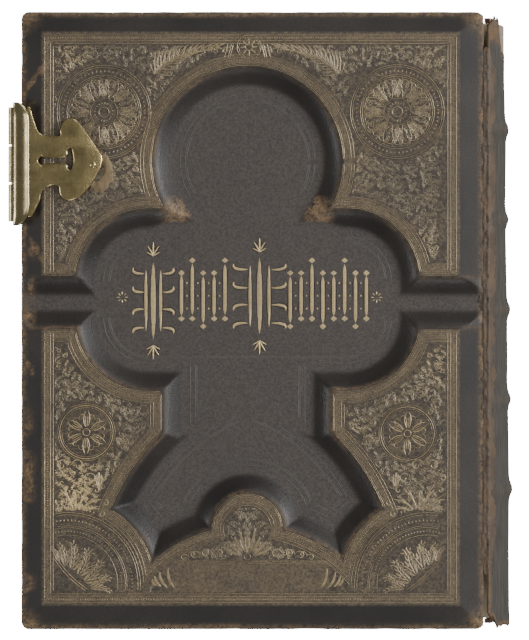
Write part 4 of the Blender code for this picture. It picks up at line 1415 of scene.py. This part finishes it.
# ---- the title's ornament -----------------------------------------------------------
@dataclass
class TitleOrnament:
    """A gilt frieze across the sunk field: lozenge-ended spindles, and two taller candelabra.

    It stands where a title would, and holds no letters.
    """

    cover: BoardCover
    row: tuple = (-34.0 * MM, 64.0 * MM, 1.0 * MM, 24.5 * MM)
    pillars: tuple = (
        (-48.5 * MM, 38.0 * MM, -17.5 * MM, 10.5 * MM), (6.2 * MM, 40.0 * MM, -15.0 * MM, 13.5 * MM)
    )

    def __post_init__(self) -> None:
        """Starts with no threads: dark ones, painted shade, lie under and round the gilt ones."""
        self.gold = Threads(self.cover, crest=0.22 * MM, root=0.12 * MM, swell=1.3)
        self.dark = Threads(self.cover, crest=0.10 * MM, root=0.10 * MM, swell=1.5)

    def stroke(self, line: Array, width: float, pointed: bool = True) -> None:
        """One gilt stroke with its dark outline of painted shade."""
        line = np.asarray(line)
        self.gold.add(line, width, pointed=pointed, mirrored=False)
        self.dark.add(line, width + 1.5 * MM, pointed=pointed, mirrored=False)

    def lozenge(self, u: Array, v: Array, wide: float, tall: float) -> None:
        """A row of pointed knobs."""
        ends = np.stack(
            [np.stack([u, v - tall / 2], -1), np.stack([u, v], -1), np.stack([u, v + tall / 2], -1)], 1
        )
        self.gold.add(ends, wide, mirrored=False)
        self.dark.add(ends * 1.0, wide + 1.0 * MM, mirrored=False)

    def balusters(self) -> None:
        """A row of spindles: lozenge-ended uprights of two heights, with a pearl between each two."""
        left, right, low, high = self.row
        u = np.arange(left, right, 5.6 * MM)
        u = u[np.abs(u - self.pillars[1][0]) > self.pillars[1][3]]
        tall = np.where(np.arange(len(u)) % 3 == 1, 6.5 * MM, 0.0)
        dip = np.where(np.arange(len(u)) % 3 == 2, 4.0 * MM, 0.0)
        v = np.linspace(0, 1, 7)[None] * (high - low + (tall + dip)[:, None]) + (low - dip)[:, None]
        self.stroke(np.stack([np.broadcast_to(u[:, None], v.shape), v], -1), 2.5 * MM, pointed=False)
        self.lozenge(u, low - dip, 4.2 * MM, 4.4 * MM)
        self.lozenge(u, high + tall, 4.2 * MM, 4.4 * MM)
        middle = ((u[:-1] + u[1:]) / 2)[np.diff(u) < 7 * MM]
        for part in (0.22, 0.5, 0.78):
            self.lozenge(middle, np.full(len(middle), low + (high - low) * part), 1.3 * MM, 1.7 * MM)

    def pillar(self, centre: float, top: float, foot: float, half: float) -> None:
        """A candelabrum: three upright spindles, leaves that curl out of them, a palmette at each end."""
        middle, reach = (top + foot) / 2, (top - foot) / 2 - 5 * MM
        for way, size, width in ((0, 1.0, 3.6), (-0.36, 0.80, 2.4), (0.36, 0.80, 2.4)):
            u = np.full(7, centre + way * half)
            v = middle + reach * size * np.linspace(-1, 1, 7)
            self.stroke(np.stack([u, v], 1), width * MM, pointed=True)
        t = np.linspace(0, 1, 8)
        for way in (-1, 1):
            for level, rise in ((0.62, 1), (0.2, 1), (-0.2, -1), (-0.62, -1)):
                u = centre + way * half * (0.38 + 0.62 * np.sin(t * 1.9) / math.sin(1.57))
                v = middle + reach * level + rise * (5.2 * t**2 - 2.0 * t) * MM
                self.stroke(np.stack([u, v], 1), 2.1 * MM)
        for v, way in ((middle + reach, 1), (middle - reach, -1)):
            for lean, length in ((0.0, 8.0), (0.5, 6.5), (-0.5, 6.5), (1.0, 4.6), (-1.0, 4.6)):
                u = centre + math.sin(lean) * length * MM * t**1.3
                self.stroke(np.stack([u, v + way * math.cos(lean) * length * MM * t], 1), 1.2 * MM)
        for v in (middle + reach * 0.42, middle, middle - reach * 0.42):
            self.lozenge(np.array([centre]), np.array([v]), 3.0 * MM, 3.6 * MM)

    def star(self, u: float, v: float, size: float) -> None:
        """Eight short points."""
        angle = np.arange(8) * np.pi / 4
        ends = np.stack([np.cos(angle), np.sin(angle)], -1) * size
        lines = np.stack([ends * k + (u, v) for k in (0.15, 0.6, 1.0)], 1)
        self.gold.add(lines, 0.7 * MM, mirrored=False)

    def build(self, gold: Material, dark: Material) -> list:
        """Lays the arcade, the pillars and two small stars."""
        self.balusters()
        for pillar in self.pillars:
            self.pillar(*pillar)
        for u in (-64.5, 66.5):
            self.star(u * MM, 12.0 * MM, 3.6 * MM)
        return [self.gold.build("title_gilt", gold), self.dark.build("title_shade", dark)]


# ---- the clasp ----------------------------------------------------------------------
@dataclass
class Clasp:
    """The brass clasp's fixed half: a pierced leaf, a half-round bar and the outer knuckles."""

    thick: float = 1.5 * MM
    edge: float = 0.65 * MM
    bar_left: float = -4.1 * MM
    bar_right: float = 5.1 * MM
    bar_rise: float = 2.6 * MM
    knuckle_r: float = 2.3 * MM
    leaf: tuple = (
        (3.5, 26.0), (6.0, 22.8), (7.2, 19.5), (9.2, 15.6), (12.4, 13.8), (17.0, 13.6), (20.6, 14.0),
        (21.0, 17.6), (22.4, 21.0), (24.8, 22.6), (27.6, 22.2), (31.0, 18.8), (35.2, 13.2), (39.4, 6.8),
        (41.2, 3.4), (40.6, -1.6), (38.4, -5.4), (37.0, -8.4), (34.2, -12.4), (30.4, -16.0), (26.4, -18.0),
        (
            23.0, -18.0
        ), (20.8, -15.4), (19.8, -11.2), (15.0, -10.6), (10.4, -14.2), (8.6, -20.2), (3.5, -24.0),
    )
    slot: tuple = (
        (8.3, 1.5), (
            11.2, 5.2
        ), (12.0, 3.9), (22.4, 3.9), (23.4, 6.6), (25.2, 8.6), (27.0, 7.0), (27.8, 1.5),
        (27.0, -2.2), (25.2, -3.8), (23.4, -2.6), (22.4, -0.6), (12.0, -0.6), (11.2, -2.2),
    )

    def __post_init__(self) -> None:
        """Reads the plate's and the pin's places from the frame."""
        plate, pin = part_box("clasp_plate"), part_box("clasp_hinge_pin")
        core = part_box("upper_cover_leather")
        self.x = core[0][0]
        self.y = (plate[0][1] + plate[1][1]) / 2
        self.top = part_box("upper_head_panel")[1][2]
        self.pin_x = (pin[0][0] + pin[1][0]) / 2
        self.pin_z = (pin[0][2] + pin[1][2]) / 2
        self.half_length = (plate[1][1] - plate[0][1]) / 2
        self.middle = self.half_length * 0.31

    def rounded(self, corners: tuple, steps: int = 5) -> Array:
        """A smooth closed line through corners, by Catmull-Rom's four-point blend."""
        p = np.array(corners) * MM
        t = np.linspace(0, 1, steps, endpoint=False)[None, :, None]
        a, b, c, d = (np.roll(p, k, axis=0)[:, None] for k in (1, 0, -1, -2))
        line = 0.5 * (
            2 * b + (c - a) * t + (2 * a - 5 * b + 4 * c - d) * t**2 + (3 * b - a - 3 * c + d) * t**3
        )
        return line.reshape(-1, 2) + (self.x, self.y)

    def leaf_plate(self) -> Piece:
        """The leaf, cut out of sheet with rounded edges and the T-shaped slot."""
        curve = bpy.data.curves.new("clasp_leaf", "CURVE")
        curve.dimensions, curve.fill_mode = "2D", "BOTH"
        curve.extrude, curve.bevel_depth, curve.bevel_resolution = self.thick / 2 - self.edge, self.edge, 3
        for corners in (self.leaf, self.slot):
            line = self.rounded(corners)
            spline = curve.splines.new("POLY")
            spline.points.add(len(line) - 1)
            flat = np.concatenate([line, np.zeros((len(line), 1)), np.ones((len(line), 1))], 1)
            spline.points.foreach_set("co", flat.ravel())
            spline.use_cyclic_u = True
        source = bpy.data.objects.new("clasp_leaf_curve", curve)
        bpy.context.scene.collection.objects.link(source)
        bpy.context.view_layer.update()
        mesh = bpy.data.meshes.new_from_object(source.evaluated_get(bpy.context.evaluated_depsgraph_get()))
        bpy.data.objects.remove(source)
        bpy.data.curves.remove(curve)
        obj = bpy.data.objects.new("clasp_leaf", mesh)
        bpy.context.scene.collection.objects.link(obj)
        self.settle(obj)
        return obj

    def settle(self, obj: Piece) -> None:
        """Lifts the flat leaf onto the board, and bows it down towards its neck and tip."""
        mesh = obj.data
        points = np.empty(len(mesh.vertices) * 3)
        mesh.vertices.foreach_get("co", points)
        points = points.reshape(-1, 3)
        along = points[:, 0] - self.x
        points[:, 2] += self.top + 0.25 * MM + self.thick / 2
        points[:, 2] += 0.5 * MM * smooth(14 * MM, 25 * MM, along) * (1 - smooth(27 * MM, 41 * MM, along))
        points[:, 2] += 0.15 * MM * ripple(points[:, 0], points[:, 1], 9 * MM, 31)
        mesh.vertices.foreach_set("co", points.ravel())
        work = bmesh.new()
        work.from_mesh(mesh)
        bmesh.ops.remove_doubles(work, verts=work.verts, dist=0.00001)
        bmesh.ops.recalc_face_normals(work, faces=work.faces)
        work.to_mesh(mesh)
        work.free()
        mesh.shade_smooth()
        mesh.set_sharp_from_angle(angle=math.radians(35))

    def bar(self) -> Piece:
        """The half-round bar over the board's edge, drawn in at both ends.

        Sections run along y. Each is half an ellipse over a flat foot, and its right side
        follows a quarter ellipse near the ends.
        """
        y = np.linspace(-1, 1, 49)
        reach = self.half_length - 0.2 * MM
        end = np.clip((1 - np.abs(y)) * reach / (11 * MM), 0, 1)
        right = (
            self.bar_left
            + (self.bar_right - self.bar_left) * (0.30 + 0.70 * np.sqrt(1 - (1 - end) ** 2))
        )
        turn = np.linspace(0, np.pi, 15)
        middle, half = (self.bar_left + right) / 2, (right - self.bar_left) / 2
        x = self.x + middle[:, None] + half[:, None] * np.cos(turn)
        rise = self.bar_rise * (0.55 + 0.45 * smooth(0.0, 0.6, end))
        z = self.top + 0.1 * MM + rise[:, None] * np.sin(turn) ** 0.85
        foot = np.full((len(y), 1), self.top - 1.6 * MM)
        x = np.concatenate([x, x[:, -1:], x[:, :1]], 1)
        z = np.concatenate([z, foot, foot], 1)
        sections = np.stack([x, np.broadcast_to(self.y + reach * y[:, None], x.shape), z], -1)
        return sweep("clasp_bar", sections, 35)

    def knuckle(self, name: str, low: float, high: float) -> Piece:
        """One outer knuckle, with a shoulder turned at each end."""
        y = np.array([low, low, low + 0.3 * MM, high - 0.3 * MM, high, high])
        r = np.array(
            [0.5 * self.knuckle_r, 0.88 * self.knuckle_r, self.knuckle_r, self.knuckle_r,
            0.88 * self.knuckle_r, 0.5 * self.knuckle_r]
        )
        turn = np.linspace(0, 2 * np.pi, 24, endpoint=False)
        x = self.pin_x + r[:, None] * np.cos(turn)
        z = self.pin_z + r[:, None] * np.sin(turn)
        return sweep(name, np.stack([x, np.broadcast_to(self.y + y[:, None], x.shape), z], -1), 35)

    def groove(self) -> Array:
        """The ends of two engraved lines across the neck; nothing here lays them."""
        return np.array([[16.0, 12.6], [16.0, 4.6]]) * MM

    def build(self, brass: Material, shaded_brass: Material) -> list:
        """All of the fixed half, which moves with the upper board."""
        pieces = [self.leaf_plate(), self.bar()]
        pieces.append(
            self.knuckle("clasp_knuckle_head", self.middle + 0.4 * MM, self.half_length - 2.4 * MM)
        )
        pieces.append(
            self.knuckle("clasp_knuckle_tail", -self.half_length + 2.4 * MM, -self.middle - 0.4 * MM)
        )
        for number, piece in enumerate(pieces):
            # painted shade: the bar, piece 1, wears the darker copy of the brass
            piece.data.materials.append(shaded_brass if number == 1 else brass)
            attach(piece, "upper_board")
            if number == 0:
                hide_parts("clasp_plate")
        return pieces


@dataclass
class TornFlap:
    """The scuffed brown leather that stands up round the clasp's tip."""

    cover: BoardCover
    centre: tuple = (-77.6 * MM, 77.0 * MM)
    reach: float = 9.0 * MM

    def build(self, leather: Material) -> Piece:
        """A ragged crescent, thin at its outer edge.

        Rings run outwards from the clasp's tip; noise frays the outermost.
        """
        turn = np.radians(np.linspace(-115, 62, 60))
        ring = np.linspace(0, 1, 9)
        fray = (
            1 + 0.16 * ripple(np.arange(60) * 1.0, np.zeros(60), 2.1, 41)
            + 0.08 * ripple(np.arange(60) * 1.0, np.ones(60), 0.9, 42)
        )
        radius = self.reach * (0.45 + 0.55 * ring[:, None] * fray * (0.75 + 0.25 * np.cos(turn + 0.6)))
        u, v = self.centre[0] + radius * np.cos(turn), self.centre[1] + radius * np.sin(turn) * 1.35
        x, y = u + self.cover.axis, v
        lump = 0.55 * MM * np.sin(np.pi * ring[:, None]) ** 0.6 * (1 + 0.5 * ripple(x, y, 2.2 * MM, 43))
        outer = np.stack([x, y, self.cover.z_at(x, y) + lump + 0.05 * MM], -1)
        inner = outer.copy()
        inner[..., 2] = self.cover.z_at(x, y) - 0.2 * MM
        obj = shell("torn_flap", outer, inner)
        fix_outwards(obj)
        self.cover.carry(obj, leather)
        return obj


# ---- the spine ----------------------------------------------------------------------
@dataclass
class Spine:
    """The rounded spine: leather with five low bands, creases, a lean, and ragged ends."""

    thick: float = 1.0 * MM
    band_rise: float = 1.7 * MM
    band_half: float = 5.5 * MM
    lean: tuple = (-1.2 * MM, 1.6 * MM)
    head_tear: float = 18.0 * MM
    columns: int = 72
    rows: int = 520

    def __post_init__(self) -> None:
        """Reads the round and the bands from the frame."""
        low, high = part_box("spine_leather")
        self.y = (low[1], high[1])
        self.mid_z = (low[2] + high[2]) / 2
        half, bulge = (high[2] - low[2]) / 2, high[0] - low[0] - 1.0 * MM
        self.radius = (half**2 + bulge**2) / (2 * bulge)
        self.centre_x = high[0] - self.radius
        self.reach = math.asin(half / self.radius)
        boxes = [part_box(f"raised_band_{i}") for i in range(1, 6)]
        self.bands = [(lo[1] + hi[1]) / 2 for lo, hi in boxes]

    def outer(self, turn: Array, y: Array) -> Array:
        """Places on the leather: an arc pushed out by the bands, folds and the lean."""
        weight = np.cos(turn / self.reach * np.pi / 2) ** 0.6
        away = (self.y[1] - y) / (self.y[1] - self.y[0])
        grow = np.zeros_like(y)
        near = np.zeros_like(y)
        for centre in self.bands:
            bend = centre + 1.2 * MM * np.cos(turn * 2) - 0.6 * MM
            t = np.abs(y - bend) / self.band_half
            grow += self.band_rise * np.exp(-(t**2) * 2.2)
            near += np.exp(-((t / 1.9) ** 2))
        folds = 0.16 * MM * ripple(turn * self.radius, y, 1.1 * MM, 51) * np.clip(near, 0.1, 1)
        dents = 0.45 * MM * ripple(turn * self.radius * 0.6, y * 0.5, 9 * MM, 52)
        cords = 0.10 * MM * ripple(turn * self.radius, y * 0.06, 0.9 * MM, 53) * smooth(0.5, 0.9, away)
        r = self.radius + (grow * weight + folds + dents * weight + cords)
        x = (
            self.centre_x + r * np.cos(turn)
            + (self.lean[0] + (self.lean[1] - self.lean[0]) * away) * weight
        )
        z = self.mid_z + r * np.sin(turn)
        return np.stack([x, y, z], -1)

    def build(self, leather: Material) -> Piece:
        """A thin shell that follows the round from joint to joint, torn at head and tail."""
        turn = np.linspace(-self.reach, self.reach, self.columns)
        t = np.linspace(0, 1, self.rows)
        edge = np.abs(turn) / self.reach
        bite = (
            lambda seed: 1.4 * MM * ripple(turn * 60, np.full(self.columns, 0.5), 1.0, seed)
            + 0.8 * MM * ripple(turn * 190, np.full(self.columns, 0.5), 1.0, seed + 1)
        )
        head = self.y[1] - 1.0 * MM - 3.0 * MM * smooth(0.75, 1.0, edge) + bite(61) * 1.6
        head -= self.head_tear * (1 - smooth(0.50, 0.66, edge))
        tail = self.y[0] - 1.2 * MM + 7.0 * MM * smooth(0.72, 1.0, edge) + bite(63) * 1.2
        angle, part = np.meshgrid(turn, t)
        y = tail + (head - tail) * part
        outer = self.outer(angle, y)
        inward = np.stack([np.cos(angle), 0 * angle, np.sin(angle)], -1)
        obj = shell("spine_back", outer, outer - inward * self.thick)
        fix_outwards(obj)
        count = outer[..., 0].size
        frayed = np.minimum.reduce([y - tail, head - y, (self.reach - np.abs(angle)) * self.radius])
        worn = 1 - smooth(0.6 * MM, 3.2 * MM, frayed)
        bare = smooth(
            -1.0 * MM, 1.0 * MM, y - self.y[1] + 13.0 * MM
            + 2.5 * MM * ripple(angle * 70, y, 3 * MM, 65)
        )
        worn = np.maximum(worn, bare * (angle > -0.1))
        grown = np.zeros_like(y)
        for centre in self.bands:
            grown += 0.35 * np.exp(-(((y - centre) / (2.2 * MM)) ** 2))
        mark(obj, "wear", np.concatenate([np.clip(worn + grown * 0.4, 0, 1).ravel(), np.ones(count)]))
        obj.data.materials.append(leather)
        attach(obj, "text_block")
        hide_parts("spine_leather", *[f"raised_band_{i}" for i in range(1, 6)])
        return obj


@dataclass
class Joint:
    """Torn brown leather that bridges a board and the spine along the hinge."""

    side: str
    outwards: int
    spine: Spine
    torn: tuple = ((141.0 * MM, 153.0 * MM), (-158.0 * MM, -131.0 * MM))
    rows: int = 460
    columns: int = 17

    def build(self, leather: Material) -> Piece:
        """A ragged strip over the groove, which bends between the board and the text block.

        Columns run from the board's edge, down into the groove and onto the spine's round.
        Both long edges and both ends are frayed by noise.
        """
        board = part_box(f"{self.side}_cover_leather")
        edge = board[1][0]
        rim = board[1][2] if self.outwards > 0 else board[0][2]
        y = np.linspace(self.torn[1][1], self.torn[0][0], self.rows)
        fray = lambda cell, seed: ripple(y, np.zeros_like(y), cell, seed)
        left = edge - 3.0 * MM + 1.5 * MM * fray(8 * MM, 71) + 0.9 * MM * fray(1.7 * MM, 72)
        right = edge + 5.4 * MM + 1.2 * MM * fray(9 * MM, 73) + 0.8 * MM * fray(1.9 * MM, 74)
        pinch = np.clip(np.minimum(y - y[0], y[-1] - y) / (11 * MM), 0.0, 1.0)
        middle = edge + 1.2 * MM
        left, right = (
            middle + (left - middle) * pinch**0.6, middle + (right - middle) * pinch**0.6 + 0.3 * MM
        )
        t = np.linspace(0, 1, self.columns)
        x = left[:, None] + (right - left)[:, None] * t
        drop = np.maximum(self.spine.radius**2 - (x - self.spine.centre_x) ** 2, 0.0)
        round_z = self.spine.mid_z + self.outwards * np.sqrt(drop)
        over = smooth(edge - 1.0 * MM, edge + 4.0 * MM, x)
        z = (rim + self.outwards * 0.35 * MM) * (1 - over) + (round_z + self.outwards * 1.0 * MM) * over
        z -= self.outwards * 1.2 * MM * np.exp(-(((x - edge - 1.4 * MM) / (1.2 * MM)) ** 2))
        z += self.outwards * (
            0.35 * MM * ripple(x, y[:, None] * 0.35, 1.3 * MM, 75)
            + 0.2 * MM * ripple(x, y[:, None], 0.8 * MM, 76)
        )
        outer = np.stack([x, np.broadcast_to(y[:, None], x.shape), z], -1)
        inner = outer - (0, 0, self.outwards * 0.9 * MM)
        obj = shell(f"{self.side}_joint_strip", outer, inner)
        fix_outwards(obj)
        obj.data.materials.append(leather)
        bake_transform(obj)
        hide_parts(f"{self.side}_joint_leather")
        return obj


# ---- paper and boards ---------------------------------------------------------------
@dataclass
class TextBlock:
    """The gatherings as stacks of leaves, with fine steps along all four edges."""

    leaves: int = 14
    step: float = 0.22 * MM
    around: int = 64

    def build(self, edges: Material, paper: Material) -> list:
        """Each gathering is a skin through its leaves: a rectangle a leaf, moved in and out."""
        pieces = []
        for number in range(1, 9):
            low, high = (np.array(corner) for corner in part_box(f"gatherings_{number}"))
            pieces.append(self.gathering(number, low, high, edges, paper))
        return pieces

    def gathering(self, number: int, low: Array, high: Array, edges: object, paper: object) -> Piece:
        """One gathering, inside its CAD box: edges is its finish all round, paper that of its two faces."""
        random = np.random.default_rng(80 + number)
        levels = 2 * self.leaves
        z = np.repeat(np.linspace(low[2], high[2], self.leaves + 1), 2)[1:-1]
        inset = np.repeat(random.uniform(0.0, 1.0, self.leaves), 2) * self.step
        inset = inset + np.tile([0.0, 1.0], self.leaves) * 0.0
        t = np.linspace(0, 1, self.around, endpoint=False)
        edge = np.concatenate([
            np.stack([t, 0 * t], 1), np.stack([0 * t + 1, t], 1), np.stack([1 - t, 0 * t + 1], 1), np.stack([0 * t, 1 - t], 1),
        ])
        size = high[:2] - low[:2]
        base = low[:2] + edge * size
        inward = (0.5 - edge) * 2
        inward = np.where(np.abs(inward) > 0.999, np.sign(inward), 0.0)
        wave = 0.15 * MM * ripple(base[:, 0], base[:, 1], 30 * MM, 90 + number)
        spots = base[None] + inward[None] * (inset[:, None, None] + np.abs(wave)[None, :, None])
        sections = np.concatenate([spots, np.broadcast_to(z[:, None, None], (levels, len(edge), 1))], -1)
        obj = sweep(f"leaf_stack_{number}", sections, 30)
        obj.data.materials.append(edges)
        obj.data.materials.append(paper)
        for face in list(obj.data.polygons)[-2:]:
            face.material_index = 1
        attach(obj, "text_block")
        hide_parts(f"gatherings_{number}")
        return obj


class Slot(Enum):
    """The record's material slots that plain CAD pieces wear."""

    LEAF = "leaf_paper"
    END = "endpaper"
    CORE = "millboard"
    SEWING = "sewing_cloth"
    SILK = "endband_silk"
    METAL = "brass"


def dress_frame(finishes: dict) -> None:
    """Gives each CAD piece that stays on show its finish and slot.

    Args:
        finishes: a material for each Slot.
    """
    wears = {
        Slot.LEAF: ("title_leaf", "frontispiece_leaf"),
        Slot.END: ("front_flyleaf", "back_flyleaf", "upper_pastedown", "lower_pastedown"),
        Slot.CORE: ("upper_board_core", "lower_board_core"),
        Slot.SEWING: ("spine_lining", *[f"sewing_tape_{i}" for i in range(1, 6)]),
        Slot.SILK: ("head_band", "tail_band"),
        Slot.METAL: ("clasp_hasp", "catch_plate", "clasp_rivet", "clasp_hinge_pin"),
    }
    for slot, names in wears.items():
        for name in names:
            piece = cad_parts[name]
            piece.data.materials.clear()
            piece.data.materials.append(finishes[slot])
        LOG.info("%s: %d pieces", slot.value, len(names))


# ---- the studio ---------------------------------------------------------------------
@dataclass(frozen=True)
class Studio:
    """A pale floor, soft lights and a camera straight above the book."""

    view_x: float = 1.2 * MM
    view_y: float = 0.3 * MM
    view_high: float = 328.7 * MM
    distance: float = 1.7
    top: float = 88.2 * MM

    def camera(self) -> None:
        """A long lens that frames view_high at the height of the upper board."""
        data = bpy.data.cameras.new("camera")
        data.sensor_width = 36.0
        data.lens = 36.0 * self.distance / self.view_high
        camera = bpy.data.objects.new("camera", data)
        camera.location = (self.view_x, self.view_y, self.top + self.distance)
        bpy.context.scene.collection.objects.link(camera)
        bpy.context.scene.camera = camera

    def light(self, name: str, place: tuple, size: float, power: float) -> None:
        """A square soft light that faces the book."""
        data = bpy.data.lights.new(name, "AREA")
        data.size = size
        data.energy = power
        lamp = bpy.data.objects.new(name, data)
        lamp.location = place
        aim = -np.array(place) + np.array([0, 0, 0.05])
        yaw = math.atan2(aim[1], aim[0])
        pitch = math.atan2(math.hypot(aim[0], aim[1]), -aim[2])
        lamp.rotation_euler = (pitch, 0.0, yaw - math.pi / 2)
        bpy.context.scene.collection.objects.link(lamp)

    def build(self) -> None:
        """Camera, lights, world and floor."""
        self.camera()
        self.light("key", (1.95, 0.45, 0.85), 0.8, 74.0)
        self.light("head_light", (0.9, 1.75, 0.80), 0.7, 16.0)
        self.light("tail_light", (0.3, -1.95, 0.80), 0.7, 17.0)
        self.light("fill", (-1.95, -0.2, 0.80), 0.8, 31.0)
        self.light("high_light", (1.05, 0.3, 2.0), 0.8, 20.0)
        world = bpy.data.worlds.new("world")
        world.use_nodes = True
        world.node_tree.nodes["Background"].inputs["Color"].default_value = (1.0, 1.0, 1.0, 1.0)
        world.node_tree.nodes["Background"].inputs["Strength"].default_value = 0.32
        bpy.context.scene.world = world
        reach = 3.0
        corners = np.array([[-reach, -reach, 0], [reach, -reach, 0], [reach, reach, 0], [-reach, reach, 0]])
        floor = make_mesh("floor", corners, np.array([[0, 1, 2, 3]]))
        recipe = Recipe("floor")
        pale = recipe.finish(
            (0.93, 0.93, 0.93), 0.9, Emission_Strength=16.0, Emission_Color=(1.0, 1.0, 1.0, 1.0)
        )
        floor.data.materials.append(pale)
        floor.visible_diffuse = floor.visible_glossy = False


def main() -> None:
    """Builds the book in order and reports each piece."""
    logging.basicConfig(level=logging.INFO, format="%(name)s: %(message)s")
    Studio().build()
    stamping = Stamping()
    leather = BoardLeather().material("board_leather")
    gold = Gilding().material("gilding")
    dull_gold = Gilding(bright=(0.190, 0.150, 0.088), dull=(0.072, 0.058, 0.038)).material("dull_gilding")
    title_gold = (
        Gilding(bright=(0.43, 0.33, 0.165), dull=(0.24, 0.18, 0.095), kept=(0.43, 0.33, 0.165),
        lost=0.4).material("title_gilding")
    )
    blind = PlainLeather(base=(0.045, 0.040, 0.036), wear=0.0).material("blind_tooling")
    # painted shade: near-black leather for the threads round gilt lines and title strokes
    outline = PlainLeather(base=(0.014, 0.011, 0.009), wear=0.0).material("gilt_shade_leather")
    back = SpineLeather().material("spine_leather_finish")
    torn = (
        PlainLeather(base=(0.034, 0.024, 0.016), rubbed=(0.086, 0.055, 0.031),
        wear=0.6).material("torn_leather")
    )
    flap = (
        PlainLeather(base=(0.075, 0.055, 0.030), rubbed=(0.200, 0.145, 0.075),
        wear=0.5).material("flap_leather")
    )
    brass = Brass().material("old_brass")
    # painted shade: a darker copy of the brass for the clasp's bar, not a worn finish
    shaded_bar_brass = Brass(bright=(0.300, 0.250, 0.135), tarnish=(0.120, 0.100, 0.056)).material("shaded_bar_brass")
    finishes = {
        Slot.LEAF: Paper().material("leaf_paper_finish"),
        Slot.END: Paper(base=(0.560, 0.440, 0.280), amount=0.7).material("endpaper_finish"),
        Slot.CORE: Paper(base=(0.330, 0.250, 0.160)).material("millboard_finish"),
        Slot.SEWING: Cloth(base=(0.110, 0.078, 0.048), stripe=(0.110, 0.078, 0.048)).material("linen"),
        Slot.SILK: Cloth(base=(0.300, 0.230, 0.130), stripe=(0.120, 0.050, 0.035)).material("silk"),
        Slot.METAL: brass,
    }
    for side, outwards in (("upper", 1), ("lower", -1)):
        cover = BoardCover(side, outwards, stamping)
        pieces = [
            cover.build(leather), *GiltTooling(cover).build(gold, dull_gold, outline),
            BlindTooling(cover).build(blind)
        ]
        if outwards > 0:
            pieces += TitleOrnament(cover).build(title_gold, outline)
            pieces.append(TornFlap(cover).build(flap))
        for piece in pieces:
            LOG.info("%s: %d faces", piece.name, len(piece.data.polygons))
    spine = Spine()
    pieces = [
        spine.build(back), *Clasp().build(brass, shaded_bar_brass),
        *TextBlock().build(PageEdges().material("page_edges"), finishes[Slot.LEAF])
    ]
    pieces += [Joint("upper", 1, spine).build(torn), Joint("lower", -1, spine).build(torn)]
    for piece in pieces:
        LOG.info("%s: %d faces", piece.name, len(piece.data.polygons))
    dress_frame(finishes)


if __name__ == "__main__":
    main()
